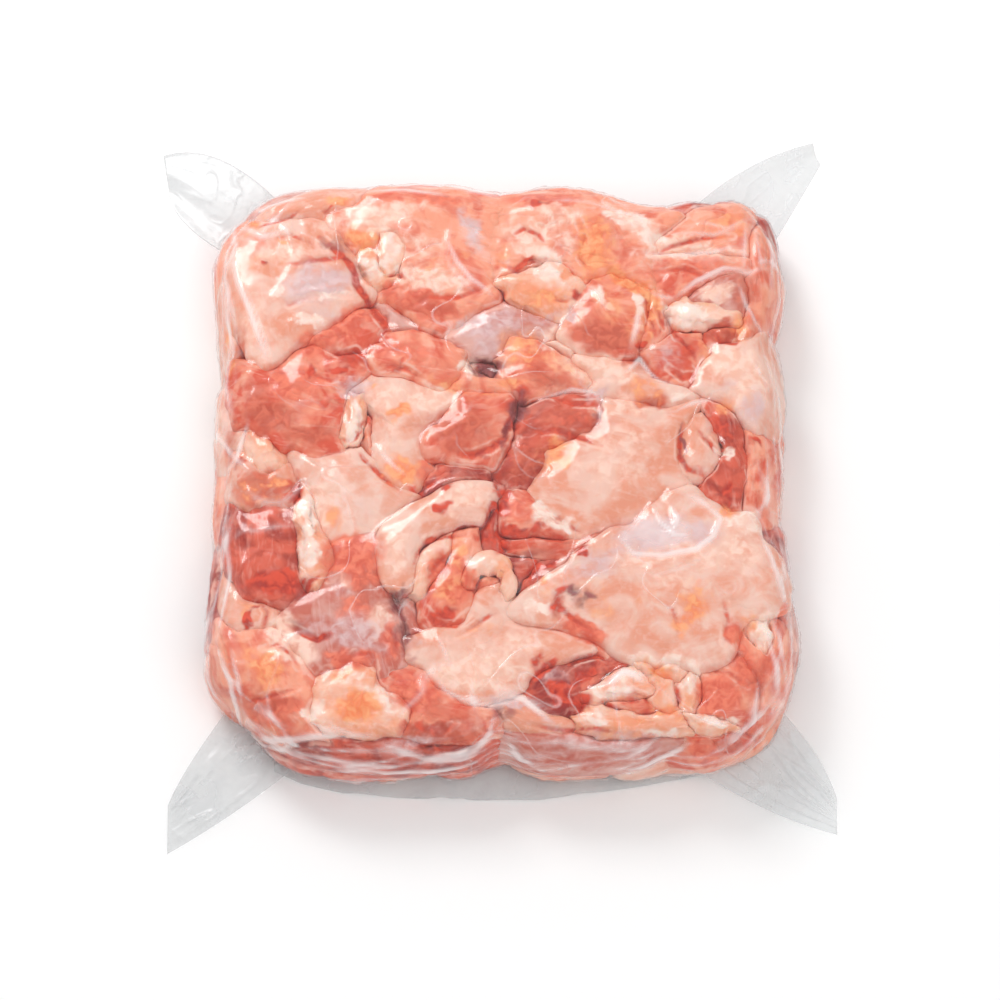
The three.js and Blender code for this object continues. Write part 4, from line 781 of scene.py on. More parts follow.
# Marks in the order that they are laid on: where they begin, where they are full, and two shades
MARK_COLOURS = [
    ("pale", 0.05, 0.6, (246, 194, 172), (253, 216, 200)),
    ("salmon", 0.05, 0.6, (220, 94, 68), (241, 134, 104)),
    # Brown meat tone, and painted shade under pieces
    ("umber_and_shade", 0.05, 0.65, (196, 82, 58), (224, 116, 88)),
    # deep: painted shade of crevices, flanks, tucks and folds, partly the juices gathered there
    ("deep", 0.25, 1.0, (182, 46, 34), (226, 92, 62)),
    ("lilac", 0.08, 0.85, (214, 174, 174), (228, 194, 192)),
    # White fat and tissue, partly painted highlight
    ("white_and_highlight", 0.1, 0.65, (248, 210, 194), (253, 228, 216)),
    ("fat", 0.08, 0.8, (242, 132, 76), (251, 176, 126)),
    # Blood, and painted shade along crevices
    ("blood_and_shade", 0.05, 0.85, (172, 30, 18), (226, 80, 50)),
    # Dusky tissue, and painted shade in hollows and furrows
    ("dusk_and_shade", 0.08, 0.95, (116, 46, 52), (170, 90, 88)),
]
# Films: how milky, the milk's colour, the tint of what shows through, roughness, and how strongly they mirror
FILM_LOOKS = {
    "film": (0.01, (252, 246, 245), (255, 255, 255), 0.14, 1),
    "welded_film": (0.24, (210, 212, 213), (250, 250, 250), 0.22, 0.5),
    "thin_film": (0.25, (232, 234, 235), (249, 249, 249), 0.22, 0.3),
}


def light(red, green, blue):
    """A colour as it looks on screen, from 0 to 255, as the light that it stands for."""
    shares = [value / 255 for value in (red, green, blue)]
    return (*(((share + 0.055) / 1.055) ** 2.4 if share > 0.04 else share / 12.92 for share in shares), 1)


# Places

def directions(x, y):
    """How far places lie from the middle, and in which direction."""
    away = np.hypot(x, y)
    middle = away < 1e-6
    divisor = np.maximum(away, 1e-6)
    return away, np.where(middle, 1, x / divisor), np.where(middle, 0, y / divisor)


def outline_reach(unit_x, unit_y):
    """How far the block's outline is from its middle, in each direction."""
    half_depth = np.where(unit_y < 0, BLOCK_FRONT_DEPTH, BLOCK_BACK_DEPTH)
    across, along = np.abs(unit_x / BLOCK_HALF_WIDTH), np.abs(unit_y / half_depth)
    reach = (across**BLOCK_SQUARENESS + along**BLOCK_SQUARENESS) ** (-1 / BLOCK_SQUARENESS)
    edge_x, edge_y = unit_x * reach, unit_y * reach
    depth = np.zeros_like(reach)
    for dent_x, dent_y, dent_depth, dent_reach in OUTLINE_DENTS:
        depth += dent_depth * np.exp(-((np.hypot(edge_x - dent_x, edge_y - dent_y) / dent_reach) ** 2))
    return reach - depth


RISE = BLOCK_HEIGHT - WIDEST_HEIGHT
UPPER_ARC = QUARTER_TURN * math.sqrt((TOP_DRAWS_IN**2 + RISE**2) / 2)
LOWER_ARC = QUARTER_TURN * math.sqrt((FOOT_DRAWS_IN**2 + WIDEST_HEIGHT**2) / 2)


def skin_place(x, y):
    """The points of the block's skin at flat places, and the way out of it there."""
    away, unit_x, unit_y = directions(x, y)
    reach = outline_reach(unit_x, unit_y)
    over = np.maximum(away - (reach - TOP_DRAWS_IN), 0)
    upper = np.minimum(over / UPPER_ARC, 1) * QUARTER_TURN
    lower = np.clip((over - UPPER_ARC) / LOWER_ARC, 0, 1) * QUARTER_TURN
    under = np.maximum(over - UPPER_ARC - LOWER_ARC, 0)
    out = np.where(
        over <= UPPER_ARC,
        np.where(over > 0, reach - TOP_DRAWS_IN + TOP_DRAWS_IN * np.sin(upper), away),
        reach - FOOT_DRAWS_IN + FOOT_DRAWS_IN * np.cos(lower) - under,
    )
    height = np.where(
        over <= UPPER_ARC,
        WIDEST_HEIGHT + RISE * np.cos(upper),
        WIDEST_HEIGHT - WIDEST_HEIGHT * np.sin(lower),
    )
    lean = np.where(over <= UPPER_ARC, upper, QUARTER_TURN + lower)
    points = np.stack([unit_x * out, unit_y * out, height], axis=-1)
    ways = np.stack([unit_x * np.sin(lean), unit_y * np.sin(lean), np.cos(lean)], axis=-1)
    return points, ways


def wrap(flat):
    """Takes points whose third number is their height while flat, and rolls them round the block."""
    points, ways = skin_place(flat[:, 0], flat[:, 1])
    return points - ways * (BLOCK_HEIGHT - flat[:, 2])[:, None]


def seen_places(flat):
    """Where the camera sees flat places, on the reading level."""
    points, _ = skin_place(flat[:, 0], flat[:, 1])
    share = (CAMERA_PLACE[2] - READ_LEVEL) / (CAMERA_PLACE[2] - points[:, 2])
    return CAMERA_PLACE[:2] + (points[:, :2] - CAMERA_PLACE[:2]) * share[:, None]


def flat_from_read(read):
    """The flat places of read ones. Those past the block's edge stay on the widest line of its wall."""
    target = np.array(read, float) + READ_ORIGIN
    flat = target.copy()
    for _ in range(60):
        flat += 0.7 * (target - seen_places(flat))
        away, unit_x, unit_y = directions(flat[:, 0], flat[:, 1])
        most = outline_reach(unit_x, unit_y) - TOP_DRAWS_IN + UPPER_ARC
        flat *= np.minimum(1, most / np.maximum(away, 1e-6))[:, None]
    return flat


def flat_marks(marks):
    """Marks whose middles are moved from read places to flat ones."""
    middles = flat_from_read([mark[:2] for mark in marks])
    return [(*middle, *mark[2:]) for middle, mark in zip(middles, marks)]


def smooth_step(value, low, high):
    share = np.clip((value - low) / (high - low), 0, 1)
    return share * share * (3 - 2 * share)


def blot(x, y, mark):
    """How strongly a mark colours each place, from 0 to its strength."""
    mark_x, mark_y, long, wide, turn, strength = mark
    turn = math.radians(turn)
    along = ((x - mark_x) * math.cos(turn) + (y - mark_y) * math.sin(turn)) / long
    across = ((y - mark_y) * math.cos(turn) - (x - mark_x) * math.sin(turn)) / wide
    return strength * np.exp(-((along**2 + across**2) ** 1.5) * 0.7)


# Meshes

def extruded_rim(bm, rim):
    """Extrudes an open rim, and gives its new corners and its new edges."""
    made = bmesh.ops.extrude_edge_only(bm, edges=rim)["geom"]
    corners = {item for item in made if isinstance(item, bmesh.types.BMVert)}
    edges = [item for item in made if isinstance(item, bmesh.types.BMEdge) and set(item.verts) <= corners]
    return list(corners), edges


def close_rim(bm, rim):
    bmesh.ops.poke(bm, faces=bmesh.ops.contextual_create(bm, geom=rim)["faces"])


def rim_edges(bm):
    return [edge for edge in bm.edges if edge.is_boundary]


def lump_box(cells_x, cells_y, rows):
    """A square grid from -1 to 1 whose rim is pulled down in rows, each 1 lower, and closed underneath."""
    bm = bmesh.new()
    bmesh.ops.create_grid(bm, x_segments=cells_x, y_segments=cells_y, size=1)
    rim = rim_edges(bm)
    for _ in range(rows):
        low, rim = extruded_rim(bm, rim)
        bmesh.ops.translate(bm, verts=low, vec=(0, 0, -1))
    close_rim(bm, rim)
    bmesh.ops.recalc_face_normals(bm, faces=bm.faces)
    return bm


def corners_of(bm):
    return np.array([vert.co[:] for vert in bm.verts])


def put_corners(bm, points):
    for vert, point in zip(bm.verts, points):
        vert.co = point


def store(mesh, name, values):
    """Keeps a number at each corner of a mesh, for its finish to read."""
    mesh.attributes.new(name, "FLOAT", "POINT").data.foreach_set("value", values)


# Lumps

def along_and_across(lump, x, y):
    """Flat places as lengths along and across a lump, with its bend straightened."""
    turn = math.radians(lump.turn)
    along = (x - lump.x) * math.cos(turn) + (y - lump.y) * math.sin(turn)
    across = (y - lump.y) * math.cos(turn) - (x - lump.x) * math.sin(turn)
    if lump.bend:
        away = np.hypot(along, lump.bend - across)
        along, across = lump.bend * np.arctan2(along, lump.bend - across), lump.bend - away
    return along, across


def flat_places(lump, along, across):
    """The flat places of lengths along and across a lump, which is bent and turned."""
    if lump.bend:
        away = lump.bend - across
        along, across = away * np.sin(along / lump.bend), lump.bend - away * np.cos(along / lump.bend)
    turn = math.radians(lump.turn)
    x = lump.x + along * math.cos(turn) - across * math.sin(turn)
    y = lump.y + along * math.sin(turn) + across * math.cos(turn)
    return x, y


RIM_TURNS = np.linspace(-math.pi, math.pi, RIM_ANGLES + 1)


def outwardness(lump, x, y):
    """How far out flat places lie in a lump: 1 is its rim."""
    along, across = along_and_across(lump, x, y)
    along, across = along / lump.long, across / lump.wide
    return np.hypot(along, across) / np.interp(np.arctan2(across, along), RIM_TURNS, lump.rim)


def wavy(angle, rng, waves):
    """A rim's own unevenness, as a share of its reach."""
    wave = np.ones_like(angle)
    for count, share in waves:
        wave += share * np.sin(count * angle + rng.uniform(0, 2 * math.pi))
    return wave


def softened(rim):
    """A closed rim with its corners rounded."""
    open_rim = rim[:-1]
    for _ in range(2):
        open_rim = (np.roll(open_rim, 1) + 2 * open_rim + np.roll(open_rim, -1)) / 4
    return np.append(open_rim, open_rim[0])


def rounded_lump(x, y, turn, finish, tone, long, wide, rng):
    """A lump with a plain rounded rim."""
    shares = np.abs(np.cos(RIM_TURNS)) ** PIECE_SQUARENESS + np.abs(np.sin(RIM_TURNS)) ** PIECE_SQUARENESS
    waves = ((2, 0.03), (3, 0.05), (4, 0.04), (7, 0.02))
    rim = shares ** (-1 / PIECE_SQUARENESS) * wavy(RIM_TURNS, rng, waves)
    return Lump(x, y, turn, 0, 0, finish, tone, long, wide, rim)


def outlined_lump(middle, turn, bend, top, finish, tone, outline):
    """A lump whose rim follows an outline of read places."""
    (x, y), *flat = flat_from_read([middle, *outline])
    lump = Lump(x, y, turn, bend, top, finish, tone, 1, 1, None)
    along, across = along_and_across(lump, *np.array(flat).T)
    long, wide = np.abs(along).max(), np.abs(across).max()
    start = np.stack([along / long, across / wide])
    run = np.roll(start, -1, axis=1) - start
    way = np.stack([np.cos(RIM_TURNS), np.sin(RIM_TURNS)])
    rim = np.full(len(RIM_TURNS), np.inf)
    for (start_x, start_y), (run_x, run_y) in zip(start.T, run.T):
        spread = way[0] * run_y - way[1] * run_x
        spread = np.where(np.abs(spread) < 1e-9, 1e-9, spread)
        reach = (start_x * run_y - start_y * run_x) / spread
        share = (start_x * way[1] - start_y * way[0]) / spread
        crossed = (share >= -1e-6) & (share <= 1 + 1e-6) & (reach > 0)
        rim = np.where(crossed, np.minimum(rim, reach), rim)
    return lump._replace(long=long, wide=wide, rim=softened(rim))


def drawn_lump(lump, others, rng):
    """A lump whose rim is drawn out to meet the lumps round it, and a little under them."""
    edge_x, edge_y = lump.long * np.cos(RIM_TURNS) * lump.rim, lump.wide * np.sin(RIM_TURNS) * lump.rim
    away = np.hypot(edge_x, edge_y)
    drawn = 1 + RIM_GROWTH / away
    for share in np.arange(0.7, 2.6, 0.05):
        x, y = flat_places(lump, edge_x * share, edge_y * share)
        for other in others:
            if share > 1 or other.top == lump.top:
                met = outwardness(other, x, y) < share
                drawn = np.where(met, np.minimum(drawn, share), drawn)
    ragged = wavy(RIM_TURNS, rng, ((5, 0.018), (9, 0.018), (14, 0.014), (23, 0.008)))
    return lump._replace(rim=lump.rim * (softened(drawn) * ragged + RIM_OVERLAP / away))


def top_lumps():
    """The lumps on top, each drawn out to meet the others."""
    lumps = {name: outlined_lump(*row) for name, row in PIECES.items()}
    reach = {name: 1.5 * max(lump.long, lump.wide) for name, lump in lumps.items()}
    drawn = {}
    for name, lump in lumps.items():
        near = [
            other
            for beside, other in lumps.items()
            if other is not lump and math.dist(other[:2], lump[:2]) < reach[beside] + reach[name]
        ]
        drawn[name] = drawn_lump(lump, near, random.Random(name))
    return drawn


def tucked(x, y, top):
    """How strongly the lumps with a higher crown press down on flat places, from 0 to 1."""
    press = np.zeros_like(x)
    for lump in TOP_LUMPS.values():
        near = np.hypot(x - lump.x, y - lump.y) < 2 * max(lump.long, lump.wide)
        if lump.top > top and near.any():
            out = outwardness(lump, x[near], y[near])
            press[near] = np.maximum(press[near], smooth_step(1.1 - out, 0, 0.35))
    return press


def lump_shape(grid, rows, lump, crown, thickness):
    """The points of a pressed lump, along and across its own length, from the corners of its box."""
    rounding = min(EDGE_ROUNDING, 0.55 * lump.wide)
    outward = np.maximum(np.abs(grid[:, 0]), np.abs(grid[:, 1]))
    _, unit_x, unit_y = directions(grid[:, 0], grid[:, 1])
    row = -grid[:, 2]
    rim = np.interp(np.arctan2(unit_y, unit_x), RIM_TURNS, lump.rim)
    edge_x, edge_y = lump.long * unit_x * rim, lump.wide * unit_y * rim
    edge = np.hypot(edge_x, edge_y)
    half = rows // 2
    upper, lower = QUARTER_TURN * (1 - row / half), -QUARTER_TURN * (row - half) / (rows - half)
    tilt = np.where(row <= half, upper, lower)
    scale = np.where(row > 0, 1 - rounding * (1 - np.cos(tilt)) / edge, outward * (1 - rounding / edge))
    scale = np.where((row >= rows) & (outward < 0.5), 0, scale)
    shoulder = crown - PIECE_DOME
    belt = shoulder - rounding
    flank = np.where(tilt > 0, rounding * np.sin(tilt), (crown - thickness - belt) * np.sin(-tilt))
    height = np.where(row > 0, belt + flank, crown - PIECE_DOME * outward**2)
    return np.stack([edge_x * scale, edge_y * scale, height], axis=-1)


def kneaded(points, seed, finish):
    """Pushes points about by soft noise, and lets wrinkles into their top, mostly along the grain."""
    waves, wrinkle_depth = KNEADING[finish]
    shift = Vector((seed * 17.3, seed * 5.1, seed * 9.7))
    moved = []
    for point in points:
        place = Vector(point)
        for wavelength, reach in waves:
            place = place + noise.noise_vector(Vector(point) / wavelength + shift) * reach * KNEADING_LEVELS
        line = noise.noise(Vector((point[0] / 26, point[1] / 6, seed)))
        line += 0.3 * noise.noise(Vector(point) / 4 + shift)
        place.z -= wrinkle_depth * max(0, 1 - abs(line) * 6) ** 2
        moved.append(place[:])
    return np.array(moved)


def add_marks(mesh, flat, grain, tone, deep):
    """Stores on the mesh where fat, blood and the like lie, along with marks of painted shade and highlight,
    its grain, its tone, and how deep it goes.
    """
    worn = np.array([noise.noise_vector(Vector(place) / 7)[:] for place in flat]) * 4
    worn += np.array([noise.noise_vector(Vector(place) / 2.5)[:] for place in flat]) * 1.8
    x, y = flat[:, 0] + worn[:, 0], flat[:, 1] + worn[:, 1]
    for name, marks in FLAT_MARKS.items():
        strength = np.zeros(len(flat))
        for mark in marks:
            reach = 2.2 * max(mark[2], mark[3])
            near = (np.abs(x - mark[0]) < reach) & (np.abs(y - mark[1]) < reach)
            if near.any():
                strength[near] = np.maximum(strength[near], blot(x[near], y[near], mark))
        store(mesh, name, strength)
    store(mesh, "deep", deep)
    store(mesh, "tone", np.full(len(flat), float(tone)))
    mesh.attributes.new("grain", "FLOAT_VECTOR", "POINT").data.foreach_set("vector", (grain / 10).ravel())


def distance_to_line(x, y, start, end):
    """For each place, its distance to a stretch, and where along it the nearest point is."""
    run_x, run_y = end[0] - start[0], end[1] - start[1]
    share = ((x - start[0]) * run_x + (y - start[1]) * run_y) / (run_x**2 + run_y**2)
    held = np.clip(share, 0, 1)
    return np.hypot(x - start[0] - held * run_x, y - start[1] - held * run_y), held


def line_profile(x, y, places, width):
    """How near flat places are to a line: 1 on it, less towards its ends, and 0 away from it."""
    profile = np.zeros_like(x)
    stretches = len(places) - 1
    for step in range(stretches):
        distance, share = distance_to_line(x, y, places[step], places[step + 1])
        along = (step + share) / stretches
        ends = np.sin(math.pi * np.clip(along, 0.06, 0.94)) ** 0.6
        profile = np.maximum(profile, np.exp(-((distance / width) ** 2)) * ends)
    return profile


def fold_depth(x, y):
    """How deep the named folds of the meat are at flat places."""
    depth = np.zeros_like(x)
    for most, width, places in FLAT_FOLDS:
        low, high = places.min(axis=0) - 3 * width, places.max(axis=0) + 3 * width
        near = (x > low[0]) & (x < high[0]) & (y > low[1]) & (y < high[1])
        if near.any():
            depth[near] = np.maximum(depth[near], most * line_profile(x[near], y[near], places, width))
    return depth


def finish_piece(name, bm, points, finish):
    """Makes an object of a bmesh whose corners go to points, in millimetres from the block's middle."""
    put_corners(bm, (points + SHIFT) * MM)
    bmesh.ops.recalc_face_normals(bm, faces=bm.faces)
    mesh = bpy.data.meshes.new(name)
    bm.to_mesh(mesh)
    bm.free()
    mesh.polygons.foreach_set("use_smooth", [True] * len(mesh.polygons))
    piece = bpy.data.objects.new(name, mesh)
    bpy.context.scene.collection.objects.link(piece)
    mesh.materials.append(finish)
    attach(piece, ROOT)
    return piece


def pressed(height):
    """Holds heights under the pressed top of the pack, softly."""
    soft = 0.8
    return PRESSED_HEIGHT - soft * np.log1p(np.exp(np.minimum((PRESSED_HEIGHT - height) / soft, 50)))


def meat_piece(name, lump, crown, thickness, cell, over=True):
    """One pressed piece of meat; over is False where it lies on the table side."""
    rows = PIECE_ROWS if cell < HIDDEN_CELL else HIDDEN_ROWS
    bm = lump_box(max(8, round(2 * lump.long / cell)), max(8, round(2 * lump.wide / cell)), rows)
    grain = lump_shape(corners_of(bm), rows, lump, crown, thickness)
    local = kneaded(grain, random.Random(name).random() * 10, lump.finish)
    x, y = flat_places(lump, local[:, 0], local[:, 1])
    height = pressed(local[:, 2])
    # deep grows down a piece's flank, under higher lumps and along folds; its red-brown is painted shade of
    # these crevices, partly the juices gathered in them
    deep = smooth_step(crown - grain[:, 2], 1.8, 7)
    if over:
        tuck, fold = tucked(x, y, lump.top), fold_depth(x, y)
        height = height - TUCK_DEPTH * tuck - fold
        deep = np.maximum(deep, np.maximum(0.9 * tuck, fold))
        flat = np.stack([x, y, height], axis=-1)
        points = wrap(flat)
    else:
        flat = np.stack([x, y, height - 300], axis=-1)
        away, unit_x, unit_y = directions(x, y)
        reach = np.minimum(away, outline_reach(unit_x, unit_y) - TABLE_INSET)
        points = np.stack([unit_x * reach, unit_y * reach, BLOCK_HEIGHT - height], axis=-1)
    points[:, 2] = np.maximum(points[:, 2], MEAT_GAP)
    piece = finish_piece(name, bm, points, FINISHES[lump.finish])
    add_marks(piece.data, flat, grain, lump.tone, deep)
    return piece


def top_pieces():
    return [
        meat_piece(name, lump, lump.top, min(PIECE_THICKNESS, 10 + 0.7 * lump.wide), PIECE_CELL)
        for name, lump in TOP_LUMPS.items()
    ]


def wall_pieces():
    """Pieces that fill the wall all round, below those of the top."""
    rng = random.Random(71)
    made = []
    for step in range(WALL_PIECES):
        angle = 2 * math.pi * (step + rng.uniform(-0.2, 0.2)) / WALL_PIECES
        reach = float(outline_reach(np.array([math.cos(angle)]), np.array([math.sin(angle)]))[0])
        out = reach - TOP_DRAWS_IN + UPPER_ARC + rng.uniform(-5, 3)
        turn = math.degrees(angle) + 90 + rng.uniform(-12, 12)
        finish = rng.choice(["muscle", "muscle", "dark", "skin", "membrane"])
        size = rng.uniform(22, 29), rng.uniform(22, 26)
        x, y = math.cos(angle) * out, math.sin(angle) * out
        lump = rounded_lump(x, y, turn, finish, rng.random(), *size, rng)
        made.append(meat_piece(f"wall_piece_{step + 1}", lump, rng.uniform(36, 38), 20, HIDDEN_CELL))
    return made


def table_pieces():
    """Pieces of the lower layer, whose flat sides lie on the table."""
    rng = random.Random(29)
    made = []
    for column in range(TABLE_COLUMNS):
        for row in range(TABLE_ROWS):
            x = (column - (TABLE_COLUMNS - 1) / 2) * TABLE_STEPS[0] + rng.uniform(-6, 6)
            y = (row - (TABLE_ROWS - 1) / 2) * TABLE_STEPS[1] + rng.uniform(-6, 6)
            finish = rng.choice(["muscle", "skin", "dark", "skin", "muscle", "fat"])
            size = rng.uniform(31, 37), rng.uniform(25, 30)
            lump = rounded_lump(x, y, rng.uniform(-40, 40), finish, rng.random(), *size, rng)
            name = f"table_piece_{column + 1}_{row + 1}"
            made.append(meat_piece(name, lump, rng.uniform(36.6, 37.3), 20, HIDDEN_CELL, over=False))
    return made


def core_piece():
    """The meat in the middle of the block, which only shows as the dark of the deepest furrows."""
    size = BLOCK_BACK_DEPTH - 14, BLOCK_HALF_WIDTH - 14
    lump = rounded_lump(0, 0, 90, "dark", 0.5, *size, random.Random(5))
    return meat_piece("core_meat", lump, 31, 22, CORE_CELL)


# Film

def crease_height(x, y):
    """How far the film stands off the meat in its named creases."""
    height = np.zeros_like(x)
    for crest, width, read in CREASES:
        profile = line_profile(x, y, flat_from_read(read), CREASE_SPREAD * width)
        height = np.maximum(height, CREASE_RISE * crest * profile)
    return height


def wrinkle_height(x, y):
    """Small wrinkles of the film, more of them towards the block's edges."""
    away, unit_x, unit_y = directions(x, y)
    weight = 0.3 + 0.7 * smooth_step(away - outline_reach(unit_x, unit_y), -75, -25)
    height = np.zeros_like(x)
    for index, (place_x, place_y) in enumerate(zip(x, y)):
        line = 1 - abs(noise.noise(Vector((place_x / 34, place_y / 34, 5.5)))) * 8
        patch = noise.noise(Vector((place_x / 26, place_y / 26, 9.5))) * 2 + 0.3
        height[index] = max(0, line) ** 2 * min(1, max(0, patch))
    return 0.6 * weight * height


def pleat_height(x, y):
    """Broad and fine folds that run along the walls."""
    away, unit_x, unit_y = directions(x, y)
    over = away - (outline_reach(unit_x, unit_y) - TOP_DRAWS_IN)
    height = np.zeros_like(x)
    for index in np.flatnonzero(over > 4):
        place_x, place_y, out = x[index], y[index], over[index]
        beside_x = abs(place_x) / BLOCK_HALF_WIDTH > abs(place_y) / BLOCK_BACK_DEPTH
        run, across = (place_y, place_x) if beside_x else (place_x, place_y)
        side = (2 if beside_x else 0) + (1 if across > 0 else 0)
        broad = 1 - abs(noise.noise(Vector((run / 55, out / 6.5 + run / 40, side * 7.7)))) * 2.2
        fine = 1 - abs(noise.noise(Vector((run / 24, out / 3.2 - run / 30, side * 3.3)))) * 2.4
        fade = min(1, (out - 4) / 10)
        height[index] = fade * (0.75 * max(0, broad) ** 3 + 0.35 * max(0, fine) ** 3)
    return height


def milkiness(x, y):
    """How milky the film is at flat places, by its named places, whose edges waver."""
    worn = np.array([noise.noise_vector(Vector((*place, 2.5)))[:] for place in zip(x / 16, y / 16)]) * 9
    milky = np.zeros_like(x)
    for mark in flat_marks(VEILS):
        milky = np.maximum(milky, 0.8 * blot(x + worn[:, 0], y + worn[:, 1], mark))
    return milky


def levelled(square):
    """A square of numbers, each but the outermost replaced by the mean of the four round it."""
    level = square.copy()
    level[1:-1, 1:-1] = (square[2:, 1:-1] + square[:-2, 1:-1] + square[1:-1, 2:] + square[1:-1, :-2]) / 4
    return level


def drawn_tight(room, grid):
    """How deep the film lies where the meat leaves it room: drawn in by vacuum, and held up by tension."""
    wide = FILM_CELLS + 1
    cells = np.rint((grid[:, :2] + 1) / 2 * FILM_CELLS).astype(int)
    order = np.argsort(cells[:, 1] * wide + cells[:, 0])
    square = room[order].reshape(wide, wide)
    tight = square
    for _ in range(FILM_TURNS):
        tight = np.minimum(square, levelled(tight) + FILM_SAG)
    for _ in range(FILM_SOFTENING):
        tight = np.minimum(tight, levelled(tight))
    depth = np.empty_like(room)
    depth[order] = tight.ravel()
    return depth


def meat_tree(pieces):
    """All meat as one tree for casting rays, in metres."""
    corners, faces = [], []
    for piece in pieces:
        start = len(corners)
        corners.extend(vert.co.copy() for vert in piece.data.vertices)
        faces.extend([start + corner for corner in face.vertices] for face in piece.data.polygons)
    return BVHTree.FromPolygons(corners, faces)


def room_for_film(pieces, skin, ways):
    """How far the meat lies below the block's skin at each of its points."""
    tree = meat_tree(pieces)
    room = np.empty(len(skin))
    for index, (point, way) in enumerate(zip(skin, ways)):
        origin = Vector((point + SHIFT + way * RAY_START) * MM)
        hit, _, _, distance = tree.ray_cast(origin, -Vector(way), RAY_LENGTH * MM)
        room[index] = distance / MM - RAY_START if hit else DEPTH_WITHOUT_MEAT
    return np.minimum(room, DEEPEST_FILM)


def film_bag(pieces):
    """The closed film over the meat, which keeps how far it lifts off it and how milky it is, its creases
    whitened partly as painted highlight.
    """
    bm = bmesh.new()
    bmesh.ops.create_grid(bm, x_segments=FILM_CELLS, y_segments=FILM_CELLS, size=1)
    grid = corners_of(bm)
    outward = np.maximum(np.abs(grid[:, 0]), np.abs(grid[:, 1]))
    _, unit_x, unit_y = directions(grid[:, 0], grid[:, 1])
    full = outline_reach(unit_x, unit_y) - TOP_DRAWS_IN + UPPER_ARC + LOWER_ARC
    x, y = unit_x * full * outward, unit_y * full * outward
    skin, ways = skin_place(x, y)

    room = room_for_film(pieces, skin, ways)
    depth = drawn_tight(room, grid)
    creases, pleats, wrinkles = crease_height(x, y), pleat_height(x, y), wrinkle_height(x, y)
    raised = creases + pleats + wrinkles
    lift = room - depth + FILM_GAP + raised
    # Crests of creases, pleats and wrinkles are whitened: partly the real whitening of folded film, partly
    # painted highlight
    veil_and_highlight = np.maximum(milkiness(x, y), 0.9 * creases + 0.7 * pleats + 0.9 * wrinkles)
    points = skin + ways * (FILM_GAP - depth + raised)[:, None]
    points[[vert.index for vert in bm.verts if vert.is_boundary], 2] = FILM_FLOOR
    points[:, 2] = np.maximum(points[:, 2], FILM_FLOOR)
    put_corners(bm, points)

    rim = rim_edges(bm)
    for ring in range(FILM_FOOT_RINGS):
        low, rim = extruded_rim(bm, rim)
        inwards = 1 - 1 / (FILM_FOOT_RINGS + 1 - ring)
        bmesh.ops.scale(bm, verts=low, vec=(inwards, inwards, 1))
    close_rim(bm, rim)
    under = np.zeros(len(bm.verts) - len(points))
    bag = finish_piece("film_bag", bm, corners_of(bm), FINISHES["film"])
    store(bag.data, "lift", np.append(lift, under))
    store(bag.data, "veil_and_highlight", np.append(veil_and_highlight, under))
    return bag


def bent_point(start, bend, end, share):
    """A point on the curve from start to end that leans towards bend."""
    near = start + (bend - start) * share
    far = bend + (end - bend) * share
    return near + (far - near) * share


def film_ear(name, ear):
    """One ear of welded film, with folds that run together at its root."""
    roots, tips, bends, root_height, tip_height, crumple, finish = ear
    bm = bmesh.new()
    bmesh.ops.create_grid(bm, x_segments=EAR_CELLS[0], y_segments=EAR_CELLS[1], size=0.5)
    seed = random.Random(name).random() * 50
    for vert in bm.verts:
        u, v = vert.co.x + 0.5, vert.co.y + 0.5
        sides = [bent_point(Vector(roots[n]), Vector(bends[n]), Vector(tips[n]), v) for n in (0, 1)]
        place = sides[0].lerp(sides[1], u)
        folds = 2.2 * noise.noise(Vector((u * 2.5, v * 0.8, seed)))
        pleats = max(0, 1 - abs(noise.noise(Vector((u * 6, v * 1.2, seed + 9)))) * 5) ** 2
        crinkles = max(0, 1 - abs(noise.noise(Vector((place.x / 15, place.y / 15, seed)))) * 3.5) ** 2
        calm = min(1, 4 * (1 - v) + 0.25) * min(1, 8 * min(u, 1 - u))
        height = root_height + (tip_height - root_height) * v + folds * (0.4 + 0.6 * v)
        height += crumple * calm * (1.4 * pleats + crinkles)
        vert.co = (place.x, place.y, max(height, WELD_FLOOR))
    bmesh.ops.solidify(bm, geom=bm.faces, thickness=WELD_THICKNESS)
    return finish_piece(name, bm, corners_of(bm), FINISHES[finish])


def film_flap():
    """The flat flap along the front."""
    free_x, free_y = np.array(FLAP_EDGE).T
    bm = bmesh.new()
    bmesh.ops.create_grid(bm, x_segments=FLAP_CELLS[0], y_segments=FLAP_CELLS[1], size=0.5)
    for vert in bm.verts:
        u, v = vert.co.x + 0.5, vert.co.y + 0.5
        x = free_x[0] + (free_x[-1] - free_x[0]) * u
        line = np.interp(x, free_x, free_y)
        rise = 0.9 * noise.noise(Vector((x / 16, v * 0.7, 3.3)))
        for place, width, crest in FLAP_FOLDS:
            rise += crest * math.exp(-(((x - place - 3 * v) / width) ** 2))
        vert.co = (x, FLAP_ROOT + (line - FLAP_ROOT) * v, max(WELD_FLOOR, 3.4 - 2 * v + rise))
    bmesh.ops.solidify(bm, geom=bm.faces, thickness=WELD_THICKNESS)
    return finish_piece("film_flap", bm, corners_of(bm), FINISHES["welded_film"])


# Finishes

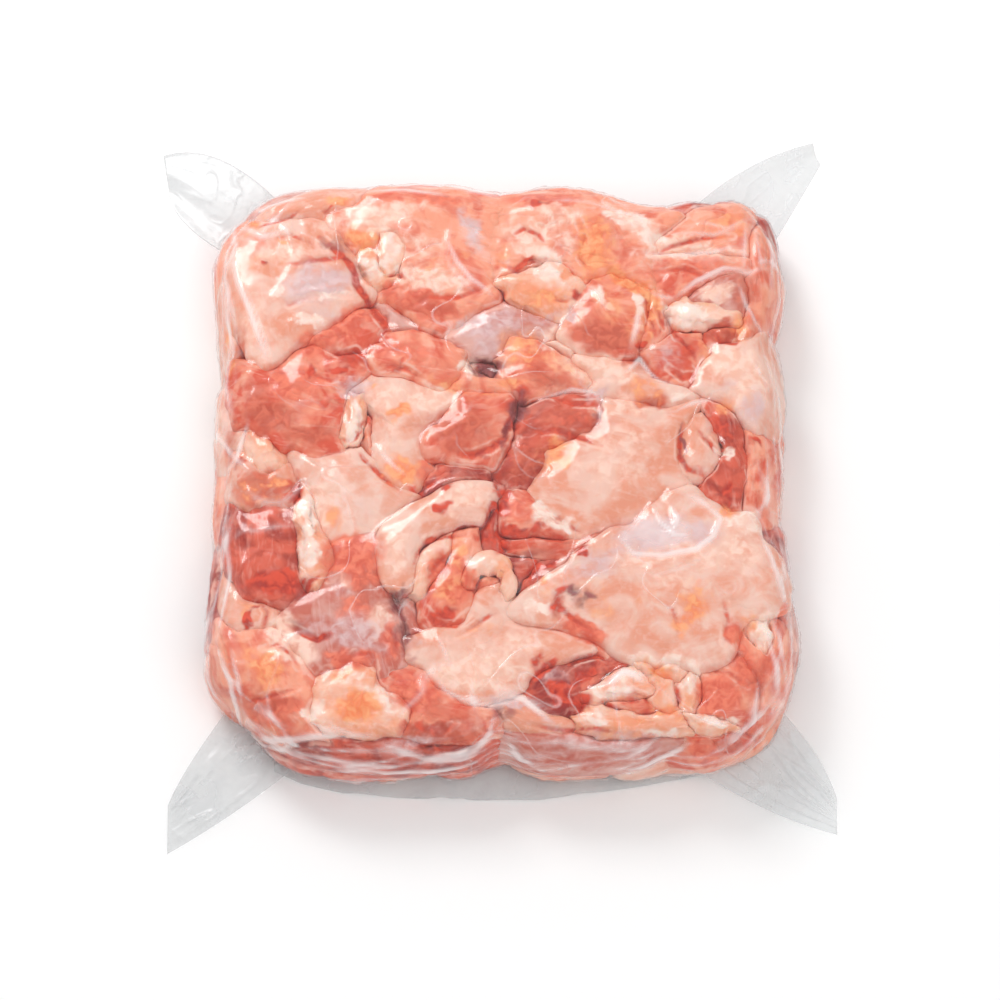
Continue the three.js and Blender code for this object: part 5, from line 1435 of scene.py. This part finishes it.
class Wiring:
    """A material's or a group's node tree, with short calls for the nodes used here."""

    def __init__(self, tree):
        self.tree = tree

    def node(self, kind, **settings):
        made = self.tree.nodes.new(kind)
        for key, value in settings.items():
            setattr(made, key, value)
        return made

    def join(self, source, target):
        if hasattr(source, "is_output"):
            self.tree.links.new(source, target)
        else:
            target.default_value = source

    def attribute(self, name, output="Fac"):
        return self.node("ShaderNodeAttribute", attribute_name=name).outputs[output]

    def maths(self, operation, first, second=0.0, clamp=False):
        made = self.node("ShaderNodeMath", operation=operation, use_clamp=clamp)
        self.join(first, made.inputs[0])
        self.join(second, made.inputs[1])
        return made.outputs[0]

    def ramp(self, value, low, high, low_to=0.0, high_to=1.0):
        """value from low to high, spread smoothly from low_to to high_to."""
        made = self.node("ShaderNodeMapRange", interpolation_type="SMOOTHSTEP")
        for socket, given in zip(made.inputs, (value, low, high, low_to, high_to)):
            self.join(given, socket)
        return made.outputs[0]

    def group(self, tree, given):
        """Places a node group with its own values."""
        made = self.node("ShaderNodeGroup", node_tree=tree)
        for socket, value in given.items():
            self.join(value, made.inputs[socket])
        return made.outputs

    def blend(self, share, first, second):
        made = self.node("ShaderNodeMix", data_type="RGBA")
        self.join(share, made.inputs[0])
        self.join(first, made.inputs[6])
        self.join(second, made.inputs[7])
        return made.outputs[2]

    def mixed(self, share, first, second):
        """Two shaders, mixed by the share of the second."""
        made = self.node("ShaderNodeMixShader")
        for socket, given in zip(made.inputs, (share, first, second)):
            self.join(given, socket)
        return made.outputs[0]

    def noise(self, place, scale, detail=3.0, stretch=(1, 1, 1), swirl=0.0):
        mapped = self.node("ShaderNodeMapping")
        self.join(place, mapped.inputs["Vector"])
        mapped.inputs["Scale"].default_value = stretch
        made = self.node("ShaderNodeTexNoise")
        self.join(mapped.outputs[0], made.inputs["Vector"])
        made.inputs["Scale"].default_value = scale
        made.inputs["Detail"].default_value = detail
        made.inputs["Distortion"].default_value = swirl
        return made.outputs["Fac"]


def fresh_material(name):
    made = bpy.data.materials.new(name)
    made.use_nodes = True
    made.node_tree.nodes.clear()
    wiring = Wiring(made.node_tree)
    output = wiring.node("ShaderNodeOutputMaterial")
    return made, wiring, output


def fresh_group(name, takes, gives):
    """An empty node group with named sockets, as its tree, its wiring, what it takes and what it gives."""
    tree = bpy.data.node_groups.new(name, "ShaderNodeTree")
    for way, sockets in (("INPUT", takes), ("OUTPUT", gives)):
        for socket, kind in sockets.items():
            tree.interface.new_socket(socket, in_out=way, socket_type=f"NodeSocket{kind}")
    wiring = Wiring(tree)
    return tree, wiring, wiring.node("NodeGroupInput").outputs, wiring.node("NodeGroupOutput").inputs


def meat_surface_group():
    """Plain meat: two tones that vary over it, flecks, patches, streaks along its grain, and low relief."""
    tree, wiring, takes, gives = fresh_group(
        "meat_surface",
        {
            "Light tone": "Color", "Dark tone": "Color", "Flecks": "Color",
            "Patches": "Color", "Patch share": "Float",
            "Streaks": "Color", "Streak share": "Float",
        },
        {"Colour": "Color", "Relief": "Float"},
    )
    place = wiring.node("ShaderNodeTexCoord").outputs["Object"]
    broad = wiring.noise(place, 62, 3, swirl=1)
    patch = wiring.noise(place, 105, 4, swirl=0.6)
    mottle = wiring.noise(place, 330, 3)
    fibre = wiring.noise(wiring.attribute("grain", "Vector"), 5, 3, stretch=(0.16, 1, 1))
    tone = wiring.maths("MULTIPLY", wiring.attribute("tone"), 0.6)
    share = wiring.maths("ADD", tone, wiring.ramp(broad, 0.34, 0.66, -0.4, 0.7), True)
    colour = wiring.blend(share, takes["Light tone"], takes["Dark tone"])
    colour = wiring.blend(wiring.ramp(patch, 0.5, 0.66, 0, takes["Patch share"]), colour, takes["Patches"])
    colour = wiring.blend(wiring.ramp(mottle, 0.5, 0.72, 0, 0.3), colour, takes["Flecks"])
    colour = wiring.blend(wiring.ramp(fibre, 0.52, 0.72, 0, takes["Streak share"]), colour, takes["Streaks"])
    grooves = wiring.maths("MULTIPLY", fibre, takes["Streak share"])
    wiring.join(colour, gives["Colour"])
    wiring.join(wiring.maths("ADD", grooves, wiring.maths("MULTIPLY", mottle, 0.5)), gives["Relief"])
    return tree


def marked_colour_group():
    """Colours a piece's own colour with a pale rim and with its marks, whose edges are broken."""
    tree, wiring, takes, gives = fresh_group("marked_colour", {"Colour": "Color"}, {"Marked": "Color"})
    place = wiring.node("ShaderNodeTexCoord").outputs["Object"]
    broken = wiring.noise(place, 240, 3, swirl=0.5)
    shade = wiring.ramp(broken, 0.35, 0.65)
    waver = wiring.ramp(broken, 0.3, 0.7, 0.65, 1.35)
    deep = wiring.attribute("deep")
    rim = wiring.maths("SUBTRACT", wiring.ramp(deep, 0, 0.08), wiring.ramp(deep, 0.1, 0.4))
    rim = wiring.maths("MULTIPLY", rim, wiring.ramp(wiring.noise(place, 90, 3), 0.46, 0.6, 0, 0.65))
    colour = wiring.blend(rim, takes["Colour"], light(*RIM_COLOUR))
    for name, low, high, dim, bright in MARK_COLOURS:
        worn = wiring.maths("MULTIPLY", wiring.attribute(name), waver)
        mark = wiring.blend(shade, light(*dim), light(*bright))
        colour = wiring.blend(wiring.ramp(worn, low, high), colour, mark)
    wiring.join(colour, gives["Marked"])
    return tree


def film_lines(wiring, place):
    """The thin lines where film is drawn, and the film's low relief."""
    contours = wiring.noise(place, 40, 1, swirl=0.3)
    off_middle = wiring.maths("ABSOLUTE", wiring.maths("SUBTRACT", contours, 0.5))
    patches = wiring.ramp(wiring.noise(place, 26, 1), 0.48, 0.64)
    lines = wiring.maths("MULTIPLY", wiring.ramp(off_middle, 0, 0.014, 1, 0), patches)
    ripples = wiring.maths("MULTIPLY", wiring.noise(place, 160, 1), 0.5)
    return lines, wiring.maths("ADD", lines, ripples)


def low_relief(wiring, relief, shader):
    """Bumps a shader by a relief that reaches half a millimetre."""
    bump = wiring.node("ShaderNodeBump")
    bump.inputs["Distance"].default_value = 0.0005
    bump.inputs["Strength"].default_value = 0.5
    wiring.join(relief, bump.inputs["Height"])
    wiring.join(bump.outputs[0], shader.inputs["Normal"])


def meat_finish(name, tones, patch_colour, patches, streak_colour, streaks, softness):
    """A meat surface with its marks, into which light sinks a little."""
    made, wiring, output = fresh_material(name)
    surface = wiring.group(MEAT_SURFACE, {
        "Light tone": light(*tones[0]), "Dark tone": light(*tones[1]), "Flecks": light(*tones[2]),
        "Patches": light(*patch_colour), "Patch share": patches,
        "Streaks": light(*streak_colour), "Streak share": streaks,
    })
    marked = wiring.group(MARKED_COLOUR, {"Colour": surface["Colour"]})
    shader = wiring.node("ShaderNodeBsdfPrincipled")
    wiring.join(marked["Marked"], shader.inputs["Base Color"])
    shader.inputs["Roughness"].default_value = 0.5
    shader.inputs["Specular IOR Level"].default_value = 0.3
    shader.inputs["Subsurface Weight"].default_value = softness
    shader.inputs["Subsurface Radius"].default_value = (1.0, 0.35, 0.22)
    shader.inputs["Subsurface Scale"].default_value = 0.004
    low_relief(wiring, surface["Relief"], shader)
    wiring.join(shader.outputs[0], output.inputs["Surface"])
    return made


def film_finish(name, clear, milk, tint, roughness, shine):
    """Film: it mirrors a little, lets the rest through, and is milky where it stands off or is welded; along
    its creases the milk is partly painted highlight.
    """
    made, wiring, output = fresh_material(name)
    place = wiring.node("ShaderNodeTexCoord").outputs["Object"]
    lines, relief = film_lines(wiring, place)
    if name == "film":
        stands_off = wiring.ramp(wiring.attribute("lift"), 1.5, 5.0, 0, 0.06)
        veil_and_highlight = wiring.ramp(wiring.attribute("veil_and_highlight"), 0.12, 1.0, 0, 0.7)
        # The drawn lines whiten the film, partly as painted highlight
        veil_and_highlight = wiring.maths("MAXIMUM", veil_and_highlight, wiring.maths("MULTIPLY", lines, 0.25))
        cloud = wiring.maths("ADD", clear, wiring.maths("MAXIMUM", stands_off, veil_and_highlight))
    else:
        cloud = wiring.ramp(wiring.noise(place, 60, 4), 0.3, 0.7, clear, clear + 0.12)
    see_through = wiring.node("ShaderNodeBsdfTransparent")
    see_through.inputs["Color"].default_value = light(*tint)
    milky = wiring.node("ShaderNodeBsdfPrincipled")
    milky.inputs["Base Color"].default_value = light(*milk)
    milky.inputs["Roughness"].default_value = 0.6
    milky.inputs["Specular IOR Level"].default_value = 0.0
    mirror = wiring.node("ShaderNodeBsdfPrincipled")
    mirror.inputs["Base Color"].default_value = (1, 1, 1, 1)
    mirror.inputs["Metallic"].default_value = 1.0
    mirror.inputs["Roughness"].default_value = roughness
    low_relief(wiring, relief, mirror)
    glint = wiring.node("ShaderNodeFresnel")
    glint.inputs["IOR"].default_value = 1.45
    mirrored = wiring.maths("MULTIPLY", wiring.maths("MINIMUM", glint.outputs[0], 0.3), shine)
    inner = wiring.mixed(cloud, see_through.outputs[0], milky.outputs[0])
    outer = wiring.mixed(mirrored, inner, mirror.outputs[0])
    in_shadow = wiring.node("ShaderNodeLightPath").outputs["Is Shadow Ray"]
    clear_to_lamps = wiring.node("ShaderNodeBsdfTransparent").outputs[0]
    wiring.join(wiring.mixed(in_shadow, outer, clear_to_lamps), output.inputs["Surface"])
    return made


def plain_finish(name, colour, roughness):
    made, wiring, output = fresh_material(name)
    shader = wiring.node("ShaderNodeBsdfPrincipled")
    shader.inputs["Base Color"].default_value = light(*colour)
    shader.inputs["Roughness"].default_value = roughness
    wiring.join(shader.outputs[0], output.inputs["Surface"])
    return made


# Scene

def studio():
    """A pale floor, soft light from the back and above, and the camera in front, looking steeply down."""
    bm = bmesh.new()
    bmesh.ops.create_grid(bm, x_segments=1, y_segments=1, size=FLOOR_HALF_SIZE)
    mesh = bpy.data.meshes.new("floor")
    bm.to_mesh(mesh)
    bm.free()
    floor = bpy.data.objects.new("floor", mesh)
    bpy.context.scene.collection.objects.link(floor)
    mesh.materials.append(plain_finish("floor_paint", (255, 255, 255), 0.8))

    world = bpy.data.worlds.new("studio")
    world.use_nodes = True
    sky = world.node_tree.nodes["Background"].inputs
    sky["Color"].default_value = (1, 1, 1, 1)
    sky["Strength"].default_value = SKY_STRENGTH
    bpy.context.scene.world = world

    target = Vector(LAMP_AIM)
    for name, place, size, power in LAMPS:
        data = bpy.data.lights.new(name, "AREA")
        data.shape = "SQUARE"
        data.size = size
        data.energy = power
        lamp = bpy.data.objects.new(name, data)
        lamp.location = place
        lamp.rotation_euler = (target - Vector(place)).to_track_quat("-Z", "Y").to_euler()
        bpy.context.scene.collection.objects.link(lamp)

    data = bpy.data.cameras.new("camera")
    data.sensor_width = SENSOR_WIDTH
    data.lens = SENSOR_WIDTH * CAMERA_DISTANCE / (PIXEL_AT_AIM * IMAGE_PIXELS)
    camera = bpy.data.objects.new("camera", data)
    camera.location = (CAMERA_PLACE + SHIFT) * MM
    camera.rotation_euler = Vector(-CAMERA_WAY).to_track_quat("-Z", "Y").to_euler()
    bpy.context.scene.collection.objects.link(camera)
    bpy.context.scene.camera = camera
    bpy.context.scene.view_settings.view_transform = "Standard"


pack_low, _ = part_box(PACK_NODE)
SHIFT = np.array([pack_low[0] / MM - LEFTMOST_TIP, pack_low[1] / MM - FOREMOST_TIP, 0])
FLAT_FOLDS = [(depth, width, flat_from_read(read)) for depth, width, read in FOLDS]
FLAT_MARKS = {name: flat_marks(marks) for name, marks in MARKS.items()}
TOP_LUMPS = top_lumps()

MEAT_SURFACE = meat_surface_group()
MARKED_COLOUR = marked_colour_group()
FINISHES = {name: meat_finish(name, *look) for name, look in MEAT_LOOKS.items()}
FINISHES.update({name: film_finish(name, *look) for name, look in FILM_LOOKS.items()})

studio()
meat = top_pieces() + wall_pieces() + table_pieces() + [core_piece()]
film = [film_bag(meat), film_flap()] + [film_ear(name, ear) for name, ear in EARS.items()]
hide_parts(PACK_NODE)
